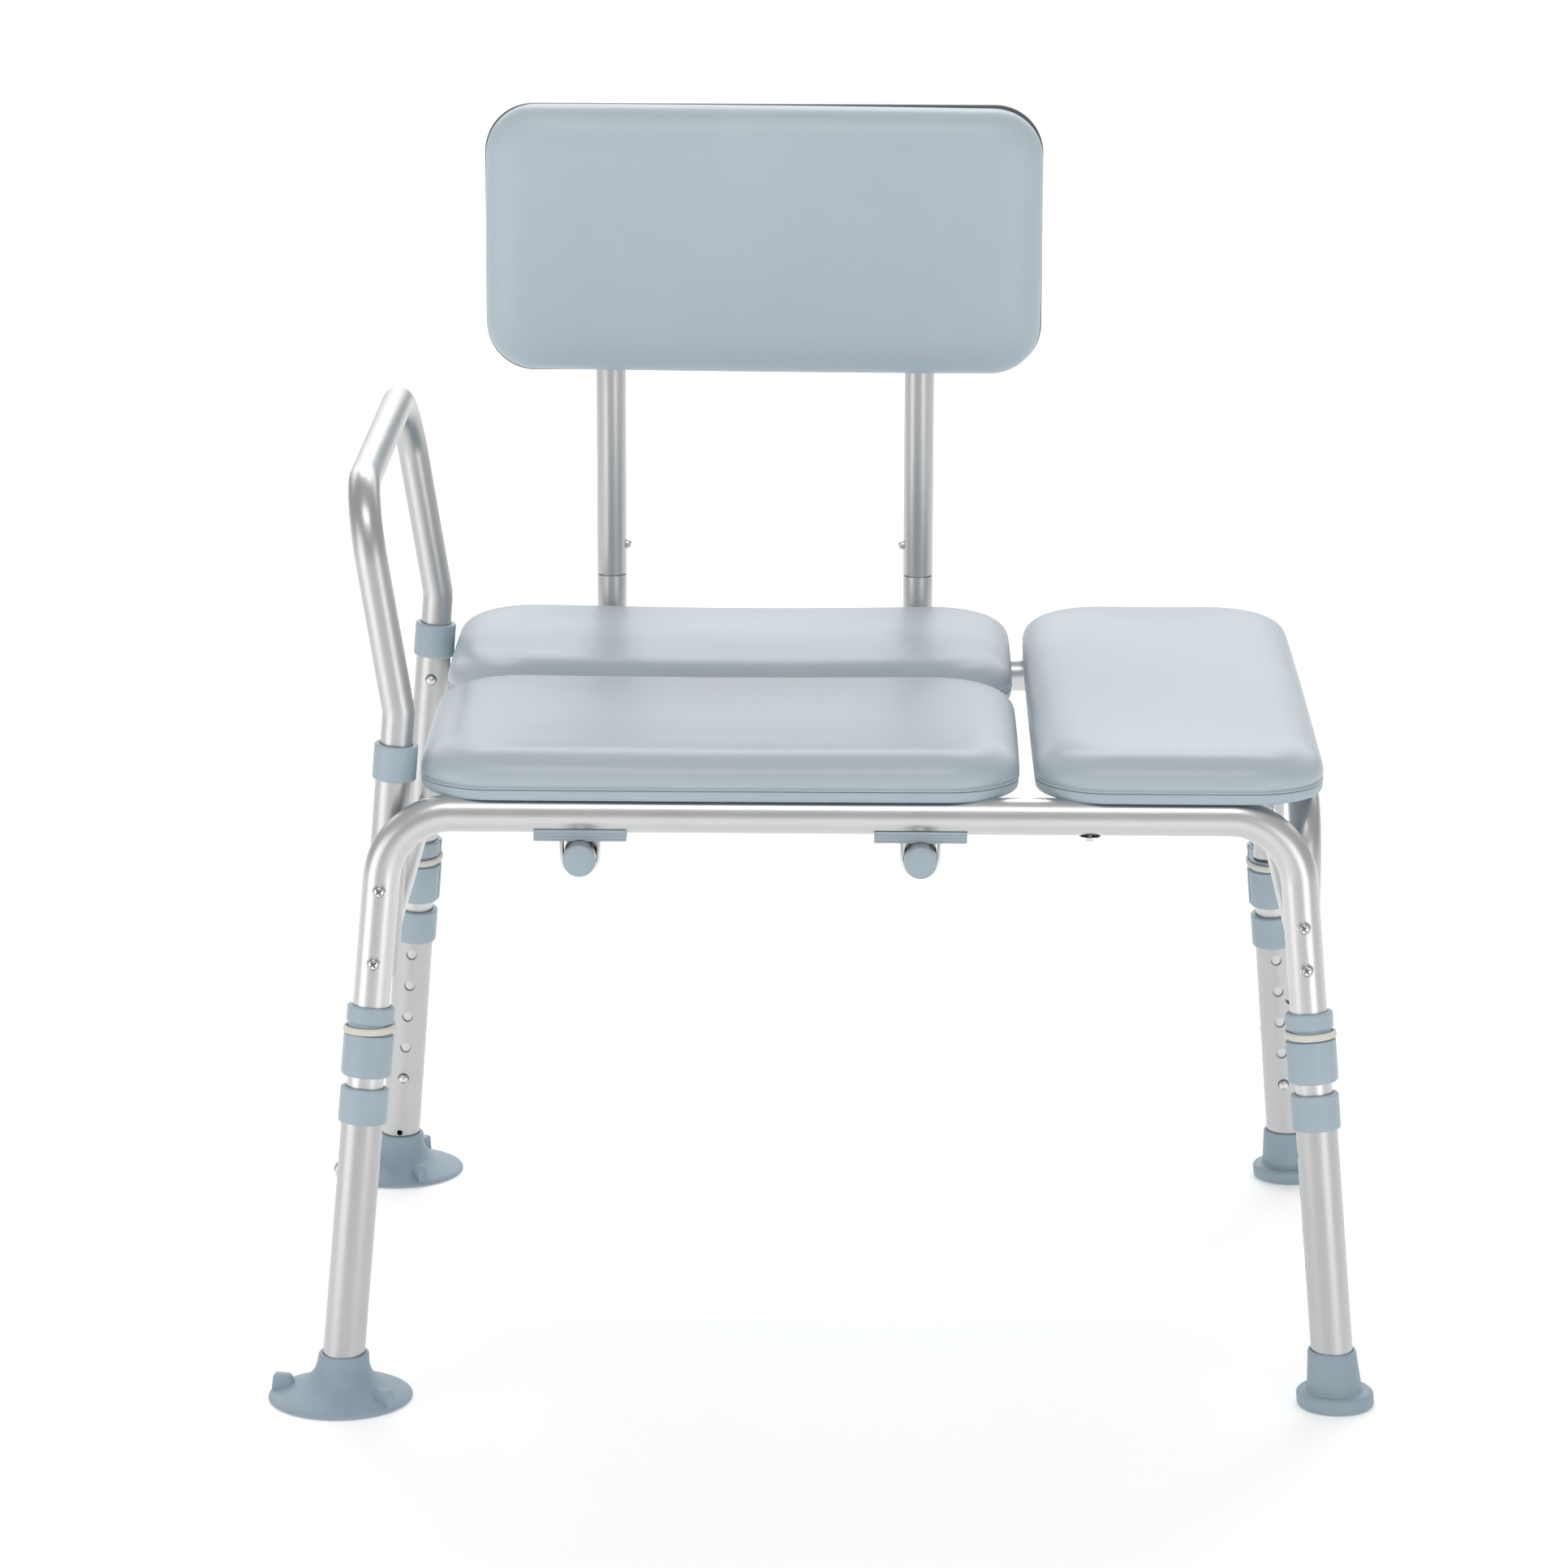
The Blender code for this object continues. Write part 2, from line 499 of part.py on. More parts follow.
# ------------------------------------------------------------------ back supports, saddles, posts, back rest
for label, x in zip(("left", "right"), POST_X):
    split = POST_SPLIT_Z - 1.0 * MM
    sup = swept("back_support_" + label, filleted([(x, SUPPORT_FRONT, SUPPORT_Z), (x, POST_Y, SUPPORT_Z), (x, POST_Y, split)], [50 * MM], steps=8), THIN_R, caps=True)
    # swaged spigot that the upper post slides over
    prof = [(0, -12 * MM), (9.3 * MM, -12 * MM), (9.3 * MM, 54 * MM), (8.3 * MM, 56 * MM), (0, 56 * MM)]
    spig = turned("spigot_" + label, prof, (x, POST_Y, split), where=cutters)
    cut(sup, spig, "UNION")
    z0, z1 = 485.4 * MM - 5.5 * MM, split + 64 * MM
    sgn = 1 if label == "left" else -1
    cut(sup, link_mesh("cut_spigot_" + label, box_mesh("slot", (x + sgn * 9 * MM, POST_Y, (z0 + z1) / 2), (9 * MM, 8.8 * MM, z1 - z0)), cutters))
    finish(sup, "aluminium")
    prof = [(0, GAP), (THIN_R - 0.2 * MM, GAP), (THIN_R + 0.1 * MM, 1 * MM), (THIN_R + 0.1 * MM, 3.2 * MM), (9.6 * MM, 4.2 * MM), (0, 4.2 * MM)]
    finish(turned("back_support_cap_" + label, prof, (x, SUPPORT_FRONT, SUPPORT_Z), (0, -1, 0)), "blue_grey_plastic")

    post = swept("back_post_" + label, [(x, POST_Y, POST_SPLIT_Z), (x, POST_Y, POST_TOP_Z)], THIN_R)
    wall(post)
    p = Vector((x, POST_Y, 485.4 * MM))
    n = Vector((sgn, 0, 0))
    cut(post, link_mesh("cut_post_" + label, cyl_mesh("h", p + n * 6 * MM, p + n * 20 * MM, HOLE_R, 12), cutters))
    finish(post, "aluminium")
    prof = [(0, 0), (BUTTON_R, 0), (BUTTON_R, 3.3 * MM), (2.9 * MM, 4.3 * MM), (1.6 * MM, 4.9 * MM), (0, 5.1 * MM)]
    finish(turned("back_button_" + label, prof, p + n * (THIN_R - 1.1 * MM), n, sides=12), "chrome")

    for end, sy in (("front", -1), ("rear", 1)):
        name = "back_saddle_%s_%s" % (end, label)
        y = sy * HALF_D
        # ribbed block between bar and support tube, with the strap that wraps the tube
        block = link_mesh(name, box_mesh(name, (x, y, 390.55 * MM), (63 * MM, 19 * MM, 8.5 * MM)))
        me = box_mesh("strap", (x, y, 375.5 * MM), (27 * MM, 17 * MM, 27 * MM))
        strap = link_mesh("strap_%s_%s" % (end, label), me, cutters)
        bv = strap.modifiers.new("round", "BEVEL")
        bv.width = 12.2 * MM
        bv.segments = 5
        bv.limit_method = "WEIGHT"
        bw = me.attributes.new("bevel_weight_edge", "FLOAT", "EDGE")
        for e in me.edges:
            va, vb = (me.vertices[i].co for i in e.vertices)
            low = va.z < 370 * MM and vb.z < 370 * MM
            along_y = abs(va.x - vb.x) < 1e-6
            bw.data[e.index].value = 1.0 if (low and along_y) else 0.0
        cut(block, strap, "UNION")
        bar_cut = cyl_mesh("bar_cut", (x - 60 * MM, y, BAR_H), (x + 60 * MM, y, BAR_H), FRAME_R + 0.35 * MM, 20)
        cut(block, link_mesh("cut_bar_%s_%s" % (end, label), bar_cut, cutters))
        tube_cut = cyl_mesh("tube_cut", (x, y - 40 * MM, SUPPORT_Z), (x, y + 40 * MM, SUPPORT_Z), THIN_R + 0.35 * MM, 20)
        cut(block, link_mesh("cut_tube_%s_%s" % (end, label), tube_cut, cutters))
        finish(block, "blue_grey_plastic", smooth=False)

# back rest: board in front of the posts, pad in front of the board
yb1 = POST_Y - THIN_R - GAP
yb0 = yb1 - BACK_BOARD_T
yp1 = yb0 - GAP
yp0 = yp1 - BACK_PAD_T


def upright(ob, y_back):
    """Stands a flat slab up: local +z becomes -y, local +y becomes +z."""
    ob.data.transform(Matrix(((1, 0, 0, 0), (0, 0, -1, y_back), (0, 1, 0, 0), (0, 0, 0, 1))))


board = pad_solid("back_board", BACK_X, BACK_Z, (0, BACK_BOARD_T), BACK_CORNER, 0)
upright(board, yb1)
finish(board, "grey_board", smooth=False)
inset = 1.2 * MM
pad = pad_solid("back_pad", (BACK_X[0] + inset, BACK_X[1] - inset), (BACK_Z[0] + inset, BACK_Z[1] - inset), (0, BACK_PAD_T), BACK_CORNER, 12 * MM, edge_seg=3)
upright(pad, yp1)
finish(pad, "vinyl")

# ------------------------------------------------------------------ shift to the middle of the footprint
for coll in (bench, cutters):
    for ob in coll.objects:
        ob.location.x += X_OFF
for ob in bench.objects:
    for m in ob.modifiers:
        if m.type == "BOOLEAN" and m.object is not None:
            m.object.hide_render = True
            m.object.display_type = "WIRE"
bpy.context.view_layer.update()
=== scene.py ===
import math
import bpy
import bmesh
from mathutils import Matrix, Vector, noise


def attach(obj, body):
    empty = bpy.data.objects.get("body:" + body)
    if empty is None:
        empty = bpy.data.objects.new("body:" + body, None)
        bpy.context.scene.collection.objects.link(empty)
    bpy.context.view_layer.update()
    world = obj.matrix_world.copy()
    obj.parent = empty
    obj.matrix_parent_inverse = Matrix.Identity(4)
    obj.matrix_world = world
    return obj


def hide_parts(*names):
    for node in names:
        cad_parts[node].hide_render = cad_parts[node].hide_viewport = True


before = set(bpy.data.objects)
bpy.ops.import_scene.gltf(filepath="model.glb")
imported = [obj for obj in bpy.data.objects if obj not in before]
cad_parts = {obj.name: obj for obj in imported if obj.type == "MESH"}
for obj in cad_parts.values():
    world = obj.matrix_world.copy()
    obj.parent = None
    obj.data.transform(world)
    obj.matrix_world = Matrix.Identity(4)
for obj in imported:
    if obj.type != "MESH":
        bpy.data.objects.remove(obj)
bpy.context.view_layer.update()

# ------------------------------------------------------------------ dimensions, as in the part's source
MM = 0.001
X_OFF = 11.5 * MM
GAP = 0.3 * MM
BAR_H, HALF_L, HALF_D = 403.4 * MM, 308.1 * MM, 211.7 * MM
SPLAY_X, SPLAY_Y = 0.0834, 0.1081
FRAME_R, THIN_R, EXT_R = 12.7 * MM, 11.1 * MM, 14.3 * MM
WALL, BEND_R, PITCH = 1.2 * MM, 49.0 * MM, 25.4 * MM
HOLE_R, SIDE_HOLE_R, BUTTON_R = 4.1 * MM, 3.0 * MM, 3.6 * MM
T_COLLAR, T_BAND, T_RING = (132 * MM, 180 * MM), (143.2 * MM, 151.2 * MM), (188 * MM, 212.4 * MM)
T_HOLE0, T_SIDE0, T_FRAME_END = 221.9 * MM, 229.5 * MM, 345 * MM
T_EXT_TOP, T_EXT_END = 190.6 * MM, 395.5 * MM
CUP_R, TIP_R = 49.5 * MM, 26.5 * MM
SEAT_Z0 = BAR_H + FRAME_R + GAP
BOARD_T, PAD_T = 5.7 * MM, 27.1 * MM
SEAT_FRONT, SEAT_REAR = -224 * MM, 267 * MM
PAD_SPLIT, PAD_GAP = 38 * MM, 8 * MM
MAIN_X, SIDE_X = (-287.8 * MM, 122.4 * MM), (131.2 * MM, 330 * MM)
PAD_CORNER = 47 * MM
POST_X = (-176.4 * MM, 54.4 * MM)
SUPPORT_Z, SUPPORT_FRONT = 376 * MM, -231.5 * MM
POST_Y, POST_SPLIT_Z, POST_TOP_Z = 286 * MM, 463.4 * MM, 798 * MM
BACK_X, BACK_Z = (-268.4 * MM, 144.9 * MM), (621 * MM, 820.6 * MM)
BACK_BOARD_T, BACK_PAD_T, BACK_CORNER = 6 * MM, 30 * MM, 36 * MM
SOCKET_Y, SOCKET_X, SOCKET_REF_Z, SOCKET_SLOPE = 188 * MM, -303.6 * MM, 434 * MM, 0.083
SOCKET_Z = (284 * MM, 443 * MM)
ARM_LOW_Z, ARM_KINK_Z, ARM_LEAN, ARM_TOP_Z, ARM_R = 378 * MM, 468 * MM, -0.161, 620 * MM, 50 * MM
HOOP_X, HOOP_Y, HOOP_TOP_Z, HOOP_LOW_Z = 316.8 * MM, 190 * MM, BAR_H + FRAME_R - THIN_R, 270 * MM
RAIL_Z, RAIL_R = 305 * MM, 9.5 * MM
K = 1.0093
OFF = Vector((X_OFF, 0, 0))

WORLD = 0.52

scene = bpy.context.scene
kit = bpy.data.collections.new("visual")
scene.collection.children.link(kit)


# ------------------------------------------------------------------ material helpers
def new_mat(name, colour, metallic=0.0, rough=0.5, **sockets):
    m = bpy.data.materials.new(name)
    m.use_nodes = True
    nt = m.node_tree
    b = nt.nodes["Principled BSDF"]
    b.inputs["Base Color"].default_value = (*colour, 1.0)
    b.inputs["Metallic"].default_value = metallic
    b.inputs["Roughness"].default_value = rough
    for k, v in sockets.items():
        b.inputs[k.replace("_", " ")].default_value = v
    return m, nt, b


def node(nt, kind, **props):
    n = nt.nodes.new(kind)
    for k, v in props.items():
        if k.startswith("in_"):
            n.inputs[k[3:].replace("_", " ")].default_value = v
        else:
            setattr(n, k, v)
    return n


def coords(nt, scale=(1, 1, 1)):
    tc = nt.nodes.new("ShaderNodeTexCoord")
    mp = nt.nodes.new("ShaderNodeMapping")
    mp.inputs["Scale"].default_value = scale
    nt.links.new(tc.outputs["Object"], mp.inputs["Vector"])
    return mp.outputs["Vector"]


def ramp(nt, src, stops):
    r = nt.nodes.new("ShaderNodeValToRGB")
    cr = r.color_ramp
    while len(cr.elements) < len(stops):
        cr.elements.new(0.5)
    for e, (p, c) in zip(cr.elements, stops):
        e.position = p
        e.color = (*c, 1.0) if len(c) == 3 else c
    nt.links.new(src, r.inputs["Fac"])
    return r.outputs["Color"]


def grey(a):
    return (a, a, a)


def bump(nt, bsdf, height, strength, distance, chain=None):
    n = nt.nodes.new("ShaderNodeBump")
    n.inputs["Strength"].default_value = strength
    n.inputs["Distance"].default_value = distance
    nt.links.new(height, n.inputs["Height"])
    if chain is not None:
        nt.links.new(chain, n.inputs["Normal"])
    if bsdf is not None:
        nt.links.new(n.outputs["Normal"], bsdf.inputs["Normal"])
    return n.outputs["Normal"]


def noise_tex(nt, vec, scale, detail=3.0, rough=0.55):
    n = nt.nodes.new("ShaderNodeTexNoise")
    n.inputs["Scale"].default_value = scale
    n.inputs["Detail"].default_value = detail
    n.inputs["Roughness"].default_value = rough
    nt.links.new(vec, n.inputs["Vector"])
    return n.outputs["Fac"]


def aluminium(name, stretch=(1, 1, 0.02), base=0.83, rough=(0.30, 0.40)):
    """Satin anodised tube: fine drawn lines along the tube, faint clouding."""
    m, nt, b = new_mat(name, (base, base, base * 1.0), 1.0, 0.35)
    fine = noise_tex(nt, coords(nt, stretch), 2600, 2.0)
    cloud = noise_tex(nt, coords(nt), 22, 4.0, 0.6)
    col = ramp(nt, cloud, [(0.30, (base * 0.955, base * 0.957, base * 0.955)), (0.70, (base, base * 1.002, base * 1.0))])
    nt.links.new(col, b.inputs["Base Color"])
    r = ramp(nt, cloud, [(0.25, grey(rough[0])), (0.75, grey(rough[1]))])
    mix = nt.nodes.new("ShaderNodeMix")
    mix.data_type = "FLOAT"
    mix.inputs["Factor"].default_value = 0.35
    fr = ramp(nt, fine, [(0.3, grey(rough[0] - 0.04)), (0.7, grey(rough[1] + 0.06))])
    nt.links.new(r, mix.inputs["A"])
    nt.links.new(fr, mix.inputs["B"])
    nt.links.new(mix.outputs["Result"], b.inputs["Roughness"])
    bump(nt, b, fine, 0.10, 0.0002)
    return m


def skin(name, colour, rough=0.42, cell=950):
    """Moulded foam skin: fine leather-like grain with soft colour drift."""
    m, nt, b = new_mat(name, colour, 0.0, rough, Specular_IOR_Level=0.5)
    v = coords(nt)
    drift = noise_tex(nt, v, 9, 3.0)
    c = colour
    col = ramp(nt, drift, [(0.25, (c[0] * 0.965, c[1] * 0.97, c[2] * 0.975)), (0.75, (min(1, c[0] * 1.03), min(1, c[1] * 1.025), min(1, c[2] * 1.02)))])
    nt.links.new(col, b.inputs["Base Color"])
    vor = nt.nodes.new("ShaderNodeTexVoronoi")
    vor.feature = "DISTANCE_TO_EDGE"
    vor.inputs["Scale"].default_value = cell
    warp = nt.nodes.new("ShaderNodeTexNoise")
    warp.inputs["Scale"].default_value = 300
    nt.links.new(v, warp.inputs["Vector"])
    mixv = nt.nodes.new("ShaderNodeMix")
    mixv.data_type = "VECTOR"
    mixv.inputs["Factor"].default_value = 0.0016
    nt.links.new(v, mixv.inputs["A"])
    nt.links.new(warp.outputs["Color"], mixv.inputs["B"])
    nt.links.new(mixv.outputs["Result"], vor.inputs["Vector"])
    cells = ramp(nt, vor.outputs["Distance"], [(0.0, grey(0.0)), (0.22, grey(1.0))])
    n1 = bump(nt, None, cells, 0.16, 0.00012)
    mid = noise_tex(nt, v, 140, 3.0)
    bump(nt, b, mid, 0.10, 0.0006, n1)
    rr = ramp(nt, drift, [(0.2, grey(rough - 0.03)), (0.8, grey(rough + 0.05))])
    nt.links.new(rr, b.inputs["Roughness"])
    return m


def plastic(name, colour, rough=0.45, grain=600, strength=0.12):
    m, nt, b = new_mat(name, colour, 0.0, rough, Specular_IOR_Level=0.5)
    v = coords(nt)
    n = noise_tex(nt, v, grain, 3.0)
    drift = noise_tex(nt, v, 30, 3.0)
    c = colour
    col = ramp(nt, drift, [(0.25, (c[0] * 0.95, c[1] * 0.955, c[2] * 0.96)), (0.75, (c[0] * 1.04, c[1] * 1.035, c[2] * 1.03))])
    nt.links.new(col, b.inputs["Base Color"])
    rr = ramp(nt, n, [(0.3, grey(rough - 0.05)), (0.7, grey(rough + 0.07))])
    nt.links.new(rr, b.inputs["Roughness"])
    bump(nt, b, n, strength, 0.0002)
    return m


def rubber(name, colour):
    """Translucent-looking vinyl rubber with scuffs."""
    m, nt, b = new_mat(name, colour, 0.0, 0.5, Specular_IOR_Level=0.45)
    v = coords(nt)
    big = noise_tex(nt, v, 45, 4.0, 0.6)
    fine = noise_tex(nt, v, 420, 4.0)
    c = colour
    col = ramp(nt, big, [(0.25, (c[0] * 0.9, c[1] * 0.92, c[2] * 0.93)), (0.6, c), (0.85, (c[0] * 1.12, c[1] * 1.09, c[2] * 1.07))])
    nt.links.new(col, b.inputs["Base Color"])
    rr = ramp(nt, big, [(0.25, grey(0.42)), (0.8, grey(0.60))])
    nt.links.new(rr, b.inputs["Roughness"])
    n1 = bump(nt, None, fine, 0.15, 0.0002)
    bump(nt, b, big, 0.2, 0.0008, n1)
    return m


def elastic(name, colour):
    m, nt, b = new_mat(name, colour, 0.0, 0.8)
    v = coords(nt)
    w = nt.nodes.new("ShaderNodeTexWave")
    w.bands_direction = "Z"
    w.inputs["Scale"].default_value = 420
    w.inputs["Distortion"].default_value = 1.2
    nt.links.new(v, w.inputs["Vector"])
    n = noise_tex(nt, v, 900, 2.0)
    c = colour
    col = ramp(nt, n, [(0.3, (c[0] * 0.88, c[1] * 0.87, c[2] * 0.85)), (0.7, c)])
    nt.links.new(col, b.inputs["Base Color"])
    bump(nt, b, w.outputs["Fac"], 0.35, 0.0003)
    return m


def chrome(name, base=0.80, rough=0.14):
    m, nt, b = new_mat(name, (base, base, base * 1.01), 1.0, rough)
    n = noise_tex(nt, coords(nt), 900, 3.0)
    nt.links.new(ramp(nt, n, [(0.3, grey(rough * 0.7)), (0.7, grey(rough * 1.6))]), b.inputs["Roughness"])
    nt.links.new(ramp(nt, n, [(0.3, grey(base * 0.92)), (0.7, grey(base))]), b.inputs["Base Color"])
    return m


ALU_LEG = aluminium("satin_aluminium_leg", (1, 1, 0.02), 0.55)
# painted light: the front and rear bars' copy of the satin aluminium runs its lines along X and has a lighter base than
# the other tubes of the same metal, brightening them as if lit
ALU_BAR_PAINTED_LIGHTER = aluminium("satin_aluminium_bar_painted_lighter", (0.02, 1, 1), 0.66, (0.28, 0.36))
ALU_DEPTH = aluminium("satin_aluminium_depth", (1, 0.02, 1), 0.57)
GREY = (0.37, 0.46, 0.515)
COLLAR = plastic("blue_grey_collar", (0.365, 0.448, 0.502), 0.42)
SADDLE = plastic("blue_grey_saddle", (0.355, 0.43, 0.475), 0.5)
PAD = skin("pad_skin", (0.425, 0.488, 0.534), 0.33)
# painted light: the same foam skin as the seat pads, given a lighter base to make up for the weaker light on the
# upright back pad
BACKPAD_PAINTED_LIGHTER = skin("back_pad_skin", (0.475, 0.555, 0.605), 0.38)
SHELL = skin("pad_lower_shell", (0.40, 0.475, 0.525), 0.45, 1200)
# painted shade: the back board is near-black so that its rim draws the shaded gap line around the back pad's edge
BACK_BOARD_GAP_SHADE = plastic("back_board_gap_shade", (0.10, 0.115, 0.125), 0.5)
CUP = rubber("suction_rubber", (0.305, 0.39, 0.455))
TIP = rubber("tip_rubber", (0.295, 0.375, 0.43))
BAND = elastic("cream_elastic", (0.74, 0.725, 0.66))
STRAP = aluminium("satin_strap", (1, 0.05, 1), 0.84, (0.28, 0.36))
CHROME = chrome("bright_screw")
BUTTON = chrome("button_steel", 0.74, 0.26)
# painted shade: a near-black steel on the walls and floor of each cross recess, standing in for the shade inside it
RECESS_PAINTED_SHADE = chrome("recess_painted_shade", 0.16, 0.35)
DARK = plastic("dark_plug", (0.05, 0.06, 0.07), 0.55)
CAPP = plastic("tube_plug", (0.36, 0.44, 0.50), 0.42, 400, 0.06)


# ------------------------------------------------------------------ mesh helpers
def put(name, me):
    ob = bpy.data.objects.new(name, me)
    kit.objects.link(ob)
    return ob


def baked(ob):
    """Applies the object's modifiers to its mesh."""
    bpy.context.view_layer.update()
    dg = bpy.context.evaluated_depsgraph_get()
    me = bpy.data.meshes.new_from_object(ob.evaluated_get(dg))
    me.name = ob.name
    ob.modifiers.clear()
    ob.data = me
    return ob


def place(ob, mat, body, node_name=None, angle=38):
    """Moves a finished piece into the row frame, shades it and hangs it on its body."""
    ob.data.transform(Matrix.Translation(OFF) @ ob.matrix_basis)
    ob.matrix_basis = Matrix.Identity(4)
    ob.data.materials.clear()
    ob.data.materials.append(mat)
    for p in ob.data.polygons:
        p.use_smooth = True
        p.material_index = 0
    ob.data.set_sharp_from_angle(angle=math.radians(angle))
    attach(ob, body)
    if node_name:
        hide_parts(*([node_name] if isinstance(node_name, str) else node_name))
    return ob


def filleted(points, radii, steps=6):
    out = [Vector(points[0])]
    for i in range(1, len(points) - 1):
        a, b, c = Vector(points[i - 1]), Vector(points[i]), Vector(points[i + 1])
        u, v = (a - b).normalized(), (c - b).normalized()
        ang = math.acos(max(-1.0, min(1.0, u.dot(v))))
        r = radii[i - 1]
        if r <= 0 or math.pi - ang < 0.01:
            out.append(b)
            continue
        centre = b + (u + v).normalized() * (r / math.sin(ang / 2))
        t = r / math.tan(ang / 2)
        p, q = b + u * t - centre, b + v * t - centre
        axis = p.cross(q).normalized()
        sweep = p.angle(q)
        n = max(2, int(round(steps * sweep / (math.pi / 2))))
        for k in range(n + 1):
            out.append(centre + Matrix.Rotation(sweep * k / n, 3, axis) @ p)
    out.append(Vector(points[-1]))
    return out


def swept(name, pts, radius, caps=False, res=22):
    cu = bpy.data.curves.new(name + "_path", "CURVE")
    cu.dimensions = "3D"
    cu.bevel_depth = radius
    cu.bevel_resolution = res
    cu.use_fill_caps = caps
    sp = cu.splines.new("POLY")
    sp.points.add(len(pts) - 1)
    for pt, co in zip(sp.points, pts):
        pt.co = (co[0], co[1], co[2], 1.0)
    tmp = bpy.data.objects.new(name + "_tmp", cu)
    scene.collection.objects.link(tmp)
    bpy.context.view_layer.update()
    me = bpy.data.meshes.new_from_object(tmp)
    bpy.data.objects.remove(tmp, do_unlink=True)
    me.name = name
    bm = bmesh.new()
    bm.from_mesh(me)
    bmesh.ops.remove_doubles(bm, verts=bm.verts, dist=1e-6)
    bmesh.ops.recalc_face_normals(bm, faces=bm.faces)
    bm.to_mesh(me)
    bm.free()
    return put(name, me)


def cyl_mesh(name, a, b, radius, sides=24, radius2=None):
    a, b = Vector(a), Vector(b)
    d = b - a
    me = bpy.data.meshes.new(name)
    bm = bmesh.new()
    bmesh.ops.create_cone(bm, cap_ends=True, segments=sides, radius1=radius, radius2=radius if radius2 is None else radius2, depth=d.length)
    rot = Vector((0, 0, 1)).rotation_difference(d.normalized()).to_matrix().to_4x4()
    bm.transform(Matrix.Translation((a + b) / 2) @ rot)
    bm.to_mesh(me)
    bm.free()
    return me


def box_mesh(name, centre, size, rot=None):
    me = bpy.data.meshes.new(name)
    bm = bmesh.new()
    bmesh.ops.create_cube(bm, size=1.0)
    bm.transform(Matrix.Diagonal((size[0], size[1], size[2], 1.0)))
    if rot is not None:
        bm.transform(rot)
    bm.transform(Matrix.Translation(centre))
    bm.to_mesh(me)
    bm.free()
    return me


def merged(name, meshes):
    bm = bmesh.new()
    for me in meshes:
        bm.from_mesh(me)
    out = bpy.data.meshes.new(name)
    bm.to_mesh(out)
    bm.free()
    return out


def boolean(ob, mesh, op="DIFFERENCE"):
    """Cuts or joins one closed mesh and applies it."""
    c = put("tool", mesh)
    m = ob.modifiers.new("b", "BOOLEAN")
    m.operation, m.solver, m.object = op, "EXACT", c
    baked(ob)
    bpy.data.objects.remove(c, do_unlink=True)
    return ob


def softened(ob, width, segments=2, angle=45):
    m = ob.modifiers.new("soft", "BEVEL")
    m.width = width
    m.segments = segments
    m.limit_method = "ANGLE"
    m.angle_limit = math.radians(angle)
    m.use_clamp_overlap = True
    return baked(ob)


def walled(ob, thickness=WALL):
    m = ob.modifiers.new("wall", "SOLIDIFY")
    m.thickness, m.offset, m.use_even_offset, m.use_rim = thickness, -1.0, True, True
    return baked(ob)


def turned(name, profile, origin=(0, 0, 0), axis=(0, 0, 1), sides=64, shear=None, spin=0.0):
    """Body of revolution built from a (radius, height) profile."""
    ring = not (profile[0][0] == 0 and profile[-1][0] == 0)
    bm = bmesh.new()
    loops = []
    for r, h in profile:
        if r == 0:
            loops.append([bm.verts.new((0, 0, h))])
        else:
            loops.append([bm.verts.new((r * math.cos(2 * math.pi * k / sides), r * math.sin(2 * math.pi * k / sides), h)) for k in range(sides)])
    pairs = list(zip(loops, loops[1:]))
    if ring:
        pairs.append((loops[-1], loops[0]))
    for a, b in pairs:
        for k in range(sides):
            j = (k + 1) % sides
            q = [a[0 if len(a) == 1 else k], a[0 if len(a) == 1 else j], b[0 if len(b) == 1 else j], b[0 if len(b) == 1 else k]]
            u = []
            for v in q:
                if v not in u:
                    u.append(v)
            if len(u) >= 3:
                bm.faces.new(u)
    bmesh.ops.recalc_face_normals(bm, faces=bm.faces)
    if shear:
        for v in bm.verts:
            v.co.x += shear[0] * v.co.z
            v.co.y += shear[1] * v.co.z
    rot = Vector((0, 0, 1)).rotation_difference(Vector(axis).normalized()).to_matrix().to_4x4()
    bm.transform(rot @ Matrix.Rotation(spin, 4, "Z"))
    bm.transform(Matrix.Translation(origin))
    me = bpy.data.meshes.new(name)
    bm.to_mesh(me)
    bm.free()
    return put(name, me)


def rounded(profile, radii, steps=4):
    """Rounds the corners of a (radius, height) polyline; radii maps index to radius."""
    out = []
    n = len(profile)
    for i, p in enumerate(profile):
        r = radii.get(i, 0)
        if r <= 0 or i in (0, n - 1):
            out.append(p)
            continue
        a, b, c = Vector((*profile[i - 1], 0)), Vector((*p, 0)), Vector((*profile[i + 1], 0))
        u, v = (a - b), (c - b)
        lu, lv = u.length, v.length
        u.normalize(); v.normalize()
        ang = u.angle(v)
        if math.pi - ang < 0.02:
            out.append(p)
            continue
        t = min(r / math.tan(ang / 2), lu * 0.48, lv * 0.48)
        rr = t * math.tan(ang / 2)
        centre = b + (u + v).normalized() * (rr / math.sin(ang / 2))
        s, e = b + u * t - centre, b + v * t - centre
        ax = s.cross(e).normalized()
        sw = s.angle(e)
        for k in range(steps + 1):
            q = centre + Matrix.Rotation(sw * k / steps, 3, ax) @ s
            out.append((q.x, q.y))
    return out


# ------------------------------------------------------------------ legs
CORNERS = {"front_left": (-1, -1), "front_right": (1, -1), "rear_left": (-1, 1), "rear_right": (1, 1)}


def leg_point(c, t):
    sx, sy = CORNERS[c]
    return Vector((sx * (HALF_L + SPLAY_X * t), sy * (HALF_D + SPLAY_Y * t), BAR_H - t))


def leg_axis(c):
    sx, sy = CORNERS[c]
    return Vector((sx * SPLAY_X, sy * SPLAY_Y, -1.0)).normalized()


def inward(c):
    d = leg_axis(c)
    v = Vector((0, -CORNERS[c][1], 0))
    return (v - d * v.dot(d)).normalized()


